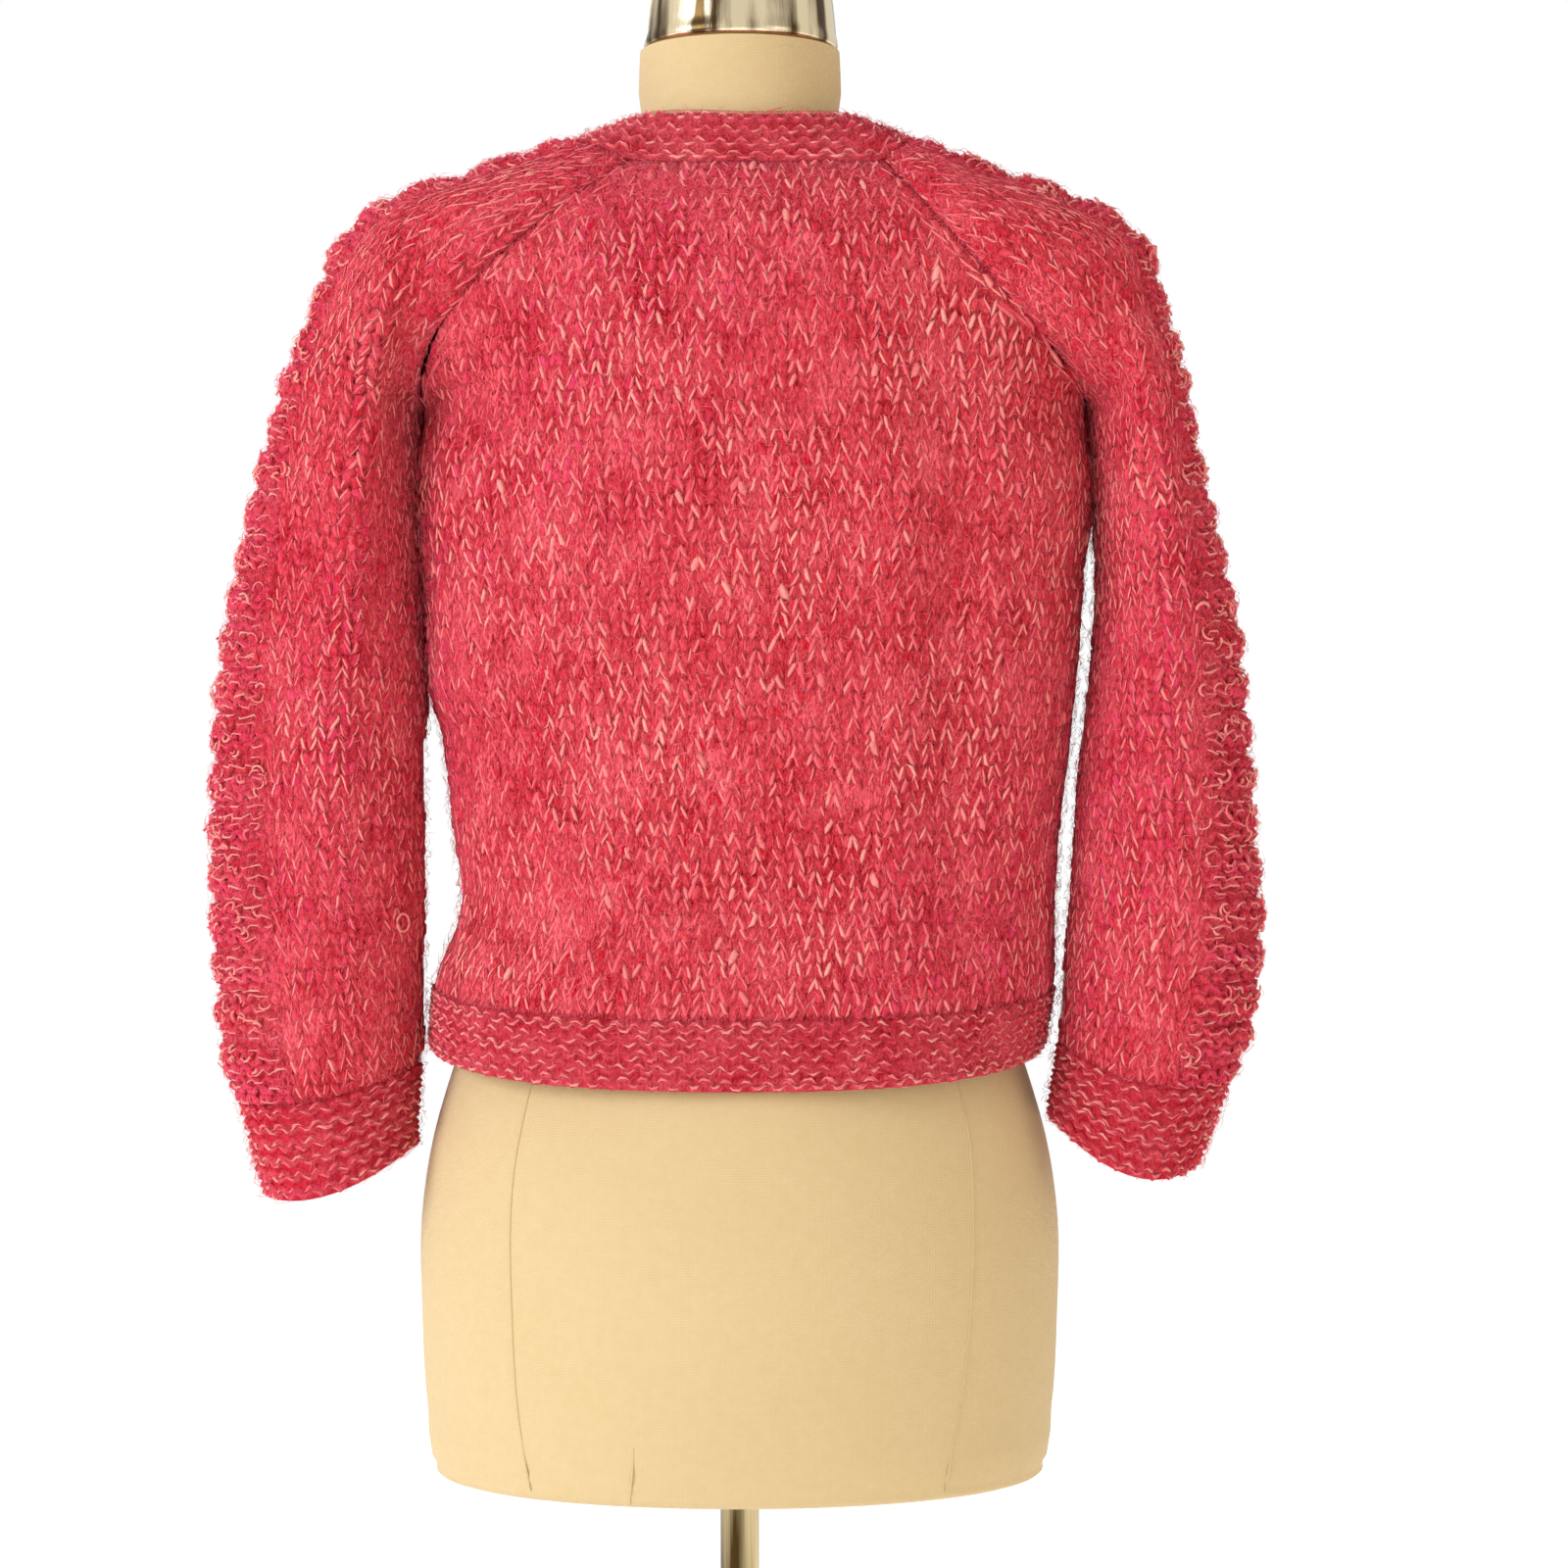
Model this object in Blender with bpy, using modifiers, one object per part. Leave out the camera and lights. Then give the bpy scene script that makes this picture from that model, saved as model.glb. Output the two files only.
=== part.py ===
"""Cardigan in a bulky, open knit, worn by a limbless dress form that stands on a pole and a foot.

Metres, +Z up. The wearer faces -Y, so the back of the cardigan faces +Y and the wearer's left
is +X. The origin is on the floor, under the middle of the foot.

The garment is one surface with raglan seams. A place on it has a depth and a share:
    depth -1 to 0   neckband, from the neckline down to its lower edge
    depth  0 to 1   yoke, down to the underarm
    depth  1 to 2   body or sleeve, down to its edge
The share runs across a piece, from 0 to 1. Each piece is a wall: an outer skin, a plain inner
skin, and rims that join them.
"""
import math

import bmesh
import bpy
import numpy as np

# Sizes of the knit
WALL = 0.0040
SEAM_HALF = 0.00015
MITRE_LIMIT = 1.8
CREASE_LEAN = -0.2
HEM_HEIGHT = 0.033
CUFF_HEIGHT = 0.047
FRONT_BAND_WIDTH = 0.032
FRONT_GAP_HALF = 0.0012
GARTER_DEPTH = 0.0016
HEM_RIDGES = 5
CUFF_RIDGES = 6
NECK_RIDGES = 4
PANEL_HALF_WIDTH = 0.062
PANEL_FADE = 0.020
PANEL_RELIEF = 0.0042
PANEL_LOW = 0.12
SQUARENESS = 0.84
FOLD_HALF_WIDTH = 0.020

# Numbers of grid cells
BACK_CELLS = 22
SLEEVE_CELLS = 14
FRONT_CELLS = 8
BAND_CELLS = 2
YOKE_CELLS = 14
YOKE_CROWDING = 1.2
BODY_CELLS = 20
TUBE_CELLS = 32
FINE = 64

# Sizes of the stand
POLE_RADIUS = 0.011
BASE_RADIUS = 0.190
BASE_HEIGHT = 0.009
BASE_EDGE = 0.003
TOUCH = 0.0003
FORM_CELLS = 32
CAP_CELLS = 32
POLE_CELLS = 24
BASE_CELLS = 48
SMOOTH_ANGLE = math.radians(40)


class Table:
    """A short table with named columns, read along a smooth curve through its rows."""

    def __init__(self, names, *rows):
        self.columns = dict(zip(names.split(), np.array(rows, dtype=float).T))
        self.keys = next(iter(self.columns.values()))

    def at(self, name, place):
        """Value of a column at a place, by cubic pieces whose slopes come from the neighbours."""
        keys = self.keys
        values = self.columns[name]
        place = np.clip(np.asarray(place, dtype=float), keys[0], keys[-1])
        slopes = np.gradient(values, keys)
        low = np.clip(np.searchsorted(keys, place, side="right") - 1, 0, len(keys) - 2)
        span = keys[low + 1] - keys[low]
        t = (place - keys[low]) / span
        rise = values[low + 1] - values[low]
        start = slopes[low] * span
        end = slopes[low + 1] * span
        return values[low] + t * start + t**2 * (3 * rise - 2 * start - end) \
            + t**3 * (start + end - 2 * rise)


# Top edge of the neckband: half widths, then the heights at the sides, back and front
NECKLINE = {"left": 0.0645, "right": 0.0695, "back": 0.0600, "front": 0.0880,
            "side_z": 1.4640, "back_z": 1.4600, "front_z": 1.4080}

# Raglan seams: x is shared by the back and the front seam of a side
RAGLAN = Table(
    "depth  left    right   back_y  back_z  front_y  front_z",
    (0.00, 0.0600, 0.0800, 0.0720, 1.4310, -0.0670, 1.4200),
    (0.25, 0.0960, 0.1030, 0.0900, 1.4035, -0.0880, 1.3990),
    (0.50, 0.1360, 0.1330, 0.0940, 1.3690, -0.0960, 1.3670),
    (0.75, 0.1660, 0.1680, 0.0760, 1.3320, -0.0780, 1.3310),
    (0.90, 0.1750, 0.1890, 0.0480, 1.3090, -0.0420, 1.3090),
    (1.00, 0.1775, 0.1955, 0.0110, 1.2980, 0.0110, 1.2980),
)

# Top of the shoulder and half the depth of the sleeve, from the neckband to the underarm
SHOULDER = Table(
    "depth  left    right   y       z       half_depth",
    (0.00, 0.0970, 0.1000, 0.0060, 1.4495, 0.0715),
    (0.20, 0.1450, 0.1430, 0.0060, 1.4290, 0.0890),
    (0.40, 0.1900, 0.1850, 0.0070, 1.4155, 0.0990),
    (0.60, 0.2195, 0.2235, 0.0090, 1.3920, 0.0975),
    (0.80, 0.2345, 0.2350, 0.0100, 1.3540, 0.0905),
    (1.00, 0.2515, 0.2450, 0.0110, 1.3150, 0.0760),
)

# Middle of the back and of the front, down the yoke
MIDDLE_YOKE = Table(
    "depth  back_y  back_z  front_y  front_z",
    (0.00, 0.0820, 1.4283, -0.1060, 1.3740),
    (0.25, 0.1000, 1.3990, -0.1180, 1.3550),
    (0.50, 0.1090, 1.3660, -0.1290, 1.3370),
    (0.75, 0.1125, 1.3330, -0.1380, 1.3190),
    (1.00, 0.1130, 1.3000, -0.1440, 1.3000),
)

# Body below the underarm: half widths of the two sides, depths, and heights round the ring
BODY = Table(
    "depth  side_z  back_z  front_z  left    right   back    front",
    (1.00, 1.2980, 1.3000, 1.3000, 0.1775, 0.1955, 0.1130, 0.1440),
    (1.16, 1.2400, 1.2410, 1.2400, 0.1760, 0.1940, 0.1130, 0.1500),
    (1.33, 1.1800, 1.1780, 1.1780, 0.1720, 0.1920, 0.1100, 0.1440),
    (1.50, 1.1200, 1.1150, 1.1140, 0.1675, 0.1870, 0.1070, 0.1330),
    (1.65, 1.0700, 1.0620, 1.0610, 0.1620, 0.1810, 0.1070, 0.1260),
    (1.79, 1.0200, 1.0080, 1.0070, 0.1570, 0.1780, 0.1120, 0.1220),
    (1.90, 0.9800, 0.9660, 0.9650, 0.1710, 0.1770, 0.1190, 0.1230),
    (2.00, 0.9450, 0.9260, 0.9250, 0.1740, 0.1710, 0.1230, 0.1240),
)

# Sleeve below the underarm: heights and distances from the middle of its inner and outer side,
# and how far its rows hang between the two
SLEEVE_LEFT = Table(
    "depth  inner_z  outer_z  inner   outer   middle_y  half_depth  droop",
    (1.00, 1.2980, 1.3150, 0.1775, 0.2515, 0.0110, 0.0760, 0.0000),
    (1.12, 1.2480, 1.2620, 0.1785, 0.2650, 0.0115, 0.0690, 0.0000),
    (1.30, 1.1750, 1.1820, 0.1785, 0.2840, 0.0120, 0.0600, 0.0000),
    (1.50, 1.0940, 1.0900, 0.1775, 0.2920, 0.0130, 0.0530, 0.0010),
    (1.70, 1.0100, 0.9960, 0.1775, 0.2905, 0.0140, 0.0480, 0.0030),
    (1.88, 0.9360, 0.9150, 0.1785, 0.2815, 0.0150, 0.0440, 0.0070),
    (2.00, 0.8870, 0.8590, 0.1810, 0.2665, 0.0160, 0.0410, 0.0090),
)
SLEEVE_RIGHT = Table(
    "depth  inner_z  outer_z  inner   outer   middle_y  half_depth  droop",
    (1.00, 1.2980, 1.3150, 0.1955, 0.2450, 0.0110, 0.0760, 0.0000),
    (1.12, 1.2480, 1.2620, 0.2000, 0.2550, 0.0140, 0.0690, 0.0000),
    (1.30, 1.1760, 1.1830, 0.1990, 0.2735, 0.0170, 0.0600, 0.0000),
    (1.50, 1.0960, 1.0940, 0.1905, 0.2820, 0.0210, 0.0530, 0.0010),
    (1.70, 1.0140, 1.0020, 0.1835, 0.2870, 0.0260, 0.0480, 0.0050),
    (1.88, 0.9480, 0.9290, 0.1780, 0.2740, 0.0300, 0.0440, 0.0110),
    (2.00, 0.9040, 0.8780, 0.1725, 0.2550, 0.0330, 0.0410, 0.0150),
)

# Soft folds that run down the back and the fronts: x of the fold and how far it sinks
FOLDS = {
    "back": Table(
        "depth  x        sink",
        (0.00, -0.0970, 0.0000),
        (0.40, -0.1010, 0.0010),
        (0.90, -0.1080, 0.0045),
        (1.50, -0.1150, 0.0045),
        (1.85, -0.1210, 0.0020),
        (2.00, -0.1220, 0.0000),
    ),
    "front": Table(
        "depth  x        sink",
        (0.00, 0.0700, 0.0000),
        (0.70, 0.0850, 0.0015),
        (1.20, 0.0950, 0.0045),
        (1.60, 0.1000, 0.0040),
        (2.00, 0.1020, 0.0010),
    ),
}

# Dress form, from the bottom up: half width, depths of the back and of the front, and how
# full each oval section is (2 is an ellipse, less is pointed at the shoulders)
FORM = Table(
    "z       half    back    front   fullness",
    (0.6985, 0.1500, 0.0960, 0.0900, 2.1),
    (0.7010, 0.1640, 0.1070, 0.1000, 2.1),
    (0.7090, 0.1715, 0.1140, 0.1060, 2.1),
    (0.7350, 0.1760, 0.1200, 0.1110, 2.0),
    (0.7900, 0.1795, 0.1250, 0.1140, 2.0),
    (0.8500, 0.1795, 0.1250, 0.1140, 2.0),
    (0.8900, 0.1735, 0.1210, 0.1120, 2.0),
    (0.9300, 0.1620, 0.1140, 0.1080, 2.0),
    (0.9700, 0.1480, 0.1040, 0.1020, 2.0),
    (1.0100, 0.1360, 0.0940, 0.0960, 2.0),
    (1.0600, 0.1260, 0.0865, 0.0920, 2.0),
    (1.1100, 0.1300, 0.0880, 0.1000, 2.0),
    (1.1600, 0.1400, 0.0930, 0.1140, 2.0),
    (1.2100, 0.1490, 0.0980, 0.1290, 2.0),
    (1.2450, 0.1520, 0.1010, 0.1340, 2.0),
    (1.2900, 0.1550, 0.1020, 0.1270, 2.0),
    (1.3300, 0.1600, 0.1015, 0.1150, 2.0),
    (1.3600, 0.1665, 0.0980, 0.0990, 1.9),
    (1.3830, 0.1700, 0.0930, 0.0870, 1.7),
    (1.3970, 0.1700, 0.0885, 0.0780, 1.6),
    (1.4120, 0.1630, 0.0820, 0.0700, 1.5),
    (1.4247, 0.1430, 0.0740, 0.0640, 1.5),
    (1.4342, 0.1180, 0.0675, 0.0610, 1.5),
    (1.4430, 0.0930, 0.0620, 0.0585, 1.6),
    (1.4500, 0.0715, 0.0562, 0.0560, 1.8),
    (1.4600, 0.0595, 0.0545, 0.0545, 2.0),
    (1.4850, 0.0575, 0.0540, 0.0540, 2.0),
    (1.5040, 0.0565, 0.0540, 0.0540, 2.0),
)

# Outline of the steel cap on the neck, from the middle of its top down: radius and height
CAP_OUTLINE = ((0.0000, 1.5533), (0.0320, 1.5530), (0.0440, 1.5505), (0.0505, 1.5440),
               (0.0525, 1.5340), (0.0545, 1.5150), (0.0547, 1.5055), (0.0530, 1.5043),
               (0.0000, 1.5043))
BASE_OUTLINE = ((0, BASE_HEIGHT), (BASE_RADIUS - BASE_EDGE, BASE_HEIGHT),
                (BASE_RADIUS, BASE_HEIGHT - BASE_EDGE), (BASE_RADIUS, 0), (0, 0))

COLOURS = {
    "knit": ((0.80, 0.09, 0.16, 1), 0.9, 0.0),
    "linen": ((0.83, 0.69, 0.42, 1), 0.8, 0.0),
    "steel": ((0.62, 0.60, 0.55, 1), 0.3, 1.0),
}


def points(x, y, z):
    """One array of points from three arrays of coordinates."""
    return np.stack(np.broadcast_arrays(x, y, z), axis=-1)


def unit(vectors):
    """The same directions with length 1."""
    return vectors / np.maximum(np.linalg.norm(vectors, axis=-1, keepdims=True), 1e-9)


def spread(curves, shares):
    """Points at even shares of the length of each finely sampled curve."""
    steps = np.linalg.norm(np.diff(curves, axis=1), axis=2)
    lengths = np.concatenate([np.zeros((len(curves), 1)), np.cumsum(steps, axis=1)], axis=1)
    result = np.empty((len(curves), shares.shape[-1], 3))
    for row, (curve, length) in enumerate(zip(curves, lengths)):
        wanted = np.broadcast_to(shares, (len(curves), shares.shape[-1]))[row] * length[-1]
        for axis in range(3):
            result[row, :, axis] = np.interp(wanted, length, curve[:, axis])
    return result


def side_name(side):
    """Column that holds a side: 1 is the wearer's left, -1 the right."""
    return "left" if side > 0 else "right"


def panel_edge(face, side, depth):
    """Side edge of the back or of a front: the raglan seam, then the side seam below it."""
    name = side_name(side)
    x = np.where(depth <= 1, RAGLAN.at(name, depth), BODY.at(name, depth))
    y = RAGLAN.at(face + "_y", depth)
    z = np.where(depth <= 1, RAGLAN.at(face + "_z", depth), BODY.at("side_z", depth))
    return side * x, y, z


def panel_middle(face, depth):
    """Middle line of the back or of the fronts."""
    outward = 1 if face == "back" else -1
    y = np.where(depth <= 1, MIDDLE_YOKE.at(face + "_y", depth), outward * BODY.at(face, depth))
    z = np.where(depth <= 1, MIDDLE_YOKE.at(face + "_z", depth), BODY.at(face + "_z", depth))
    return y, z


def neckline(x, y):
    """Point of the neckline that lies in the direction of x, y, on an oval of its own."""
    turn = np.arctan2(y, x)
    half = np.where(x > 0, NECKLINE["left"], NECKLINE["right"])
    deep = np.where(y > 0, NECKLINE["back"], NECKLINE["front"])
    radius = 1 / np.hypot(np.cos(turn) / half, np.sin(turn) / deep)
    end_z = np.where(y > 0, NECKLINE["back_z"], NECKLINE["front_z"])
    z = NECKLINE["side_z"] + (end_z - NECKLINE["side_z"]) * np.abs(np.sin(turn)) ** 3
    return points(radius * np.cos(turn), radius * np.sin(turn), z)


def with_neckband(surface, depth):
    """Rows with a depth below 0 run straight from the yoke's first row up to the neckline."""
    top = neckline(surface[..., 0], surface[..., 1])
    rise = np.clip(-depth, 0, 1)[:, None, None]
    return surface * (1 - rise) + top * rise


def signed_power(values, power):
    """Power of the size of each value, with the value's own sign."""
    return np.sign(values) * np.abs(values) ** power


def fold_in(face, side, depth, surface):
    """Sink a soft fold into rows of the back or of a front.

    The sink falls off as a bell curve of the distance from the fold's x. The back has one fold,
    on the wearer's right, and each front has its own.
    """
    table = FOLDS[face]
    outward = 1 if face == "back" else -1
    fold_x = table.at("x", depth)[:, None] * (1 if face == "back" else side)
    bell = np.exp(-((surface[..., 0] - fold_x) / FOLD_HALF_WIDTH) ** 2)
    surface[..., 1] -= outward * table.at("sink", depth)[:, None] * bell
    return surface


def half_panel(face, side, depth, shares):
    """Part of the back or front from its side edge to the middle: a quarter of a squarish oval.

    x falls as the cosine of the turn and y grows as its sine, both to a power under 1 that
    flattens the middle. The turn starts where the sine gives the side edge's own y.
    """
    down = np.maximum(depth, 0)[:, None]
    edge_x, edge_y, edge_z = panel_edge(face, side, down)
    middle_y, middle_z = panel_middle(face, down)
    middle_x = 0.0 if face == "back" else side * FRONT_GAP_HALF
    ratio = np.clip(edge_y / middle_y, -0.999, 0.999)
    first = np.arcsin(signed_power(ratio, 1 / SQUARENESS))
    turn = first + (math.pi / 2 - first) * np.linspace(0, 1, FINE)[None, :]
    across = (np.clip(np.cos(turn), 0, 1) / np.cos(first)) ** SQUARENESS
    outward = signed_power(np.sin(turn), SQUARENESS)
    curves = points(middle_x + (edge_x - middle_x) * across,
                    middle_y * outward,
                    edge_z + (middle_z - edge_z) * (outward - ratio) / (1 - ratio))
    rows = fold_in(face, side, depth, spread(curves, shares))
    return with_neckband(rows, depth)


def back_surface(depth, cells):
    """Whole back, from the wearer's left to the right."""
    shares = np.linspace(0, 1, cells // 2 + 1)
    left = half_panel("back", 1, depth, shares)
    right = half_panel("back", -1, depth, shares)
    return np.concatenate([left, right[:, -2::-1]], axis=1)


def front_surface(side, depth):
    """One front with its band, from its side edge to the opening, with the band's own width."""
    coarse = half_panel("front", side, depth, np.linspace(0, 1, FINE))
    length = np.linalg.norm(np.diff(coarse, axis=1), axis=2).sum(axis=1)
    start = 1 - FRONT_BAND_WIDTH / length
    panel = np.linspace(0, 1, FRONT_CELLS + 1)[None, :] * start[:, None]
    band = start[:, None] + (1 - start[:, None]) * np.linspace(0, 1, BAND_CELLS + 1)[None, 1:]
    return half_panel("front", side, depth, np.concatenate([panel, band], axis=1))


def sleeve_surface(side, depth, shares):
    """Sleeve from the back seam, over its outer side, to the front seam.

    Each row is an oval arc about the seams' middle. It reaches from the back seam over the
    shoulder's top to the front seam, and closes below the underarm, where the two seams meet.
    """
    name = side_name(side)
    table = SLEEVE_LEFT if side > 0 else SLEEVE_RIGHT
    down = np.maximum(depth, 0)[:, None]
    yoke = down <= 1
    half_chord = np.where(yoke, (RAGLAN.at("back_y", down) - RAGLAN.at("front_y", down)) / 2, 0)
    middle_y = np.where(yoke, (RAGLAN.at("back_y", down) + RAGLAN.at("front_y", down)) / 2,
                        table.at("middle_y", down))
    inner_x = np.where(yoke, RAGLAN.at(name, down), table.at("inner", down))
    half_depth = np.where(yoke, SHOULDER.at("half_depth", down), table.at("half_depth", down))
    outer_x = np.where(yoke, SHOULDER.at(name, down), table.at("outer", down))
    outer_y = np.where(yoke, SHOULDER.at("y", down), table.at("middle_y", down))
    outer_z = np.where(yoke, SHOULDER.at("z", down), table.at("outer_z", down))
    last = math.pi - np.arcsin(np.clip(half_chord / half_depth, 0, 1))
    way = np.linspace(1, -1, 2 * FINE)[None, :]
    turn = last * way
    reach = (np.cos(turn) - np.cos(last)) / (1 - np.cos(last))
    seam_z = np.where(yoke, (RAGLAN.at("back_z", down) + RAGLAN.at("front_z", down)) / 2
                      + way * (RAGLAN.at("back_z", down) - RAGLAN.at("front_z", down)) / 2,
                      table.at("inner_z", down))
    droop = table.at("droop", down) * 4 * reach * (1 - reach)
    curves = points(side * (inner_x + (outer_x - inner_x) * reach),
                    middle_y + (outer_y - middle_y) * reach + half_depth * np.sin(turn),
                    seam_z + (outer_z - seam_z) * reach - droop)
    return with_neckband(spread(curves, shares), depth)


class Panel:
    """A grid of surface points with what turns it into a wall."""

    GRIDS = ("surface", "normals", "walls", "shifts", "relief")

    def __init__(self, surface):
        self.surface = surface
        down = np.gradient(surface, axis=0)
        across = np.gradient(surface, axis=1)
        self.normals = unit(np.cross(down, across))
        self.walls = np.full(surface.shape[:2], WALL)
        self.shifts = np.zeros_like(surface)
        self.relief = np.zeros(surface.shape[:2])

    def cut(self, rows, columns):
        """Part of the panel, as a panel of its own."""
        part = Panel.__new__(Panel)
        for name in self.GRIDS:
            setattr(part, name, getattr(self, name)[rows, columns].copy())
        return part

    def outer(self):
        """Points of the outer skin, with its relief."""
        return self.surface + self.shifts + self.normals * self.relief[..., None]

    def inner(self):
        """Points of the plain inner skin."""
        return self.surface + self.shifts - self.normals * self.walls[..., None]

    def pull_back(self, row, toward):
        """Leave half a seam's gap at a cross row: toward is 1 to move it down, -1 up."""
        along = unit(np.gradient(self.surface, axis=0)[row])
        self.shifts[row] += along * toward * SEAM_HALF


def join(first, second, rows):
    """Share the edge between two panels: one direction through the wall, and half a gap each."""
    edge = first.surface[rows, -1]
    tangent = unit(np.gradient(edge, axis=0))
    own = first.normals[rows, -1]
    other = second.normals[rows, 0]
    through = own + other + np.array((0, 0, CREASE_LEAN))
    through = unit(through - tangent * np.sum(through * tangent, axis=1, keepdims=True))
    apart = unit(np.cross(through, tangent))
    cosine = np.maximum(np.sum(own * through, axis=1), 1 / MITRE_LIMIT)
    for panel, column, inner_column in ((first, -1, -2), (second, 0, 1)):
        inside = panel.surface[rows, inner_column] - edge
        lean = np.sign(np.sum(apart * inside, axis=1)).sum()
        sign = 1 if lean >= 0 else -1
        panel.normals[rows, column] = through
        panel.walls[rows, column] = WALL / cosine
        panel.shifts[rows, column] += apart * sign * SEAM_HALF


def material(name):
    """A plain material of the stated colour, roughness and metallic value."""
    made = bpy.data.materials.get(name) or bpy.data.materials.new(name)
    colour, roughness, metallic = COLOURS[name]
    made.use_nodes = True
    shader = made.node_tree.nodes["Principled BSDF"]
    shader.inputs["Base Color"].default_value = colour
    shader.inputs["Roughness"].default_value = roughness
    shader.inputs["Metallic"].default_value = metallic
    return made


def add_object(name, mesh, finish, collection):
    """Put a finished mesh into the collection, shaded smooth but for its sharp edges."""
    mesh.shade_smooth()
    mesh.set_sharp_from_angle(angle=SMOOTH_ANGLE)
    mesh.materials.append(material(finish))
    made = bpy.data.objects.new(name, mesh)
    collection.objects.link(made)
    return made


def wall_mesh(name, outer, inner, kept_rows, closed_from):
    """Closed wall between two skins with the same columns.

    The inner skin has only the kept rows. From the row closed_from on, the last column is the
    first one again, so the wall is a tube there. Without it the wall is open all the way.
    """
    rows, columns = outer.shape[:2]
    if closed_from is None:
        closed_from = rows
    mesh = bmesh.new()

    def skin(grid, numbers):
        table = {}
        for place, row in enumerate(numbers):
            for column in range(columns):
                wraps = row >= closed_from and column == columns - 1
                table[row, column] = table[row, 0] if wraps else mesh.verts.new(grid[place, column])
        for above, below in zip(numbers, numbers[1:]):
            for column in range(columns - 1):
                mesh.faces.new((table[above, column], table[below, column],
                                table[below, column + 1], table[above, column + 1]))
        return table

    out = skin(outer, list(range(rows)))
    into = skin(inner, kept_rows)
    for row in (0, rows - 1):
        for column in range(columns - 1):
            after = column + 1
            mesh.faces.new((out[row, column], out[row, after], into[row, column]))
            mesh.faces.new((out[row, after], into[row, after], into[row, column]))
    for above, below in zip(kept_rows, kept_rows[1:]):
        if above < closed_from:
            middle = (above + below) // 2
            for column in (0, columns - 1):
                for row in range(above, below):
                    far = above if row < middle else below
                    mesh.faces.new((out[row, column], out[row + 1, column], into[far, column]))
                mesh.faces.new((out[middle, column], into[below, column], into[above, column]))
    bmesh.ops.recalc_face_normals(mesh, faces=mesh.faces)
    data = bpy.data.meshes.new(name)
    mesh.to_mesh(data)
    mesh.free()
    return data


def add_wall(name, panel, collection, kept_rows, closed_from=None):
    """Make a knitted piece from a panel, whose plain inner skin has only the kept rows."""
    kept = list(kept_rows)
    data = wall_mesh(name, panel.outer(), panel.inner()[kept], kept, closed_from)
    add_object(name, data, "knit", collection)


def garter(rows):
    """Raised and sunk rows by turns, sunk at both ends."""
    return np.where(np.arange(rows) % 2 == 1, GARTER_DEPTH, 0.0)[:, None]


def knobbly_panel(panel, first_row):
    """Relief of the sleeve's outer panel: cross welts that fade at its two sides."""
    surface = panel.surface
    steps = np.linalg.norm(np.diff(surface, axis=1), axis=2)
    length = np.concatenate([np.zeros((len(surface), 1)), np.cumsum(steps, axis=1)], axis=1)
    from_middle = np.abs(length - length[:, -1:] / 2)
    fade = np.clip((PANEL_HALF_WIDTH - from_middle) / PANEL_FADE, 0, 1)
    rows = np.arange(len(surface))[:, None]
    welt = np.where((rows - first_row) % 2 == 0, 1.0, PANEL_LOW)
    return PANEL_RELIEF * fade * welt


def strip(panels, rows):
    """One panel over the same rows of neighbouring panels, with their shared edges averaged."""
    parts = [panel.cut(rows, slice(None)) for panel in panels]
    for before, after in zip(parts, parts[1:]):
        shared = unit(before.normals[:, -1] + after.normals[:, 0])
        before.normals[:, -1] = shared
        after.normals[:, 0] = shared
    whole = parts[0]
    for part in parts[1:]:
        for name in Panel.GRIDS:
            joined = np.concatenate([getattr(whole, name)[:, :-1], getattr(part, name)], axis=1)
            setattr(whole, name, joined)
    whole.shifts[:, 1:-1] = 0
    return whole


def weld_tube(sleeve, under):
    """Below the underarm the sleeve's two edges are one line."""
    for grid in (sleeve.normals, sleeve.shifts):
        grid[under:, 0] = grid[under:, -1] = (grid[under:, 0] + grid[under:, -1]) / 2
    sleeve.normals[under:, 0] = sleeve.normals[under:, -1] = unit(sleeve.normals[under:, 0])


def settle_underarm(corners, under):
    """Where four pieces meet at the underarm, their walls lean straight up, into the crease."""
    for panel, column in corners:
        panel.normals[under, column] = (0, 0, -1)
        panel.walls[under, column] = WALL * MITRE_LIMIT


def every_second(first, last):
    """Every second row number, with both ends."""
    return list(range(first, last, 2)) + [last]


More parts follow.
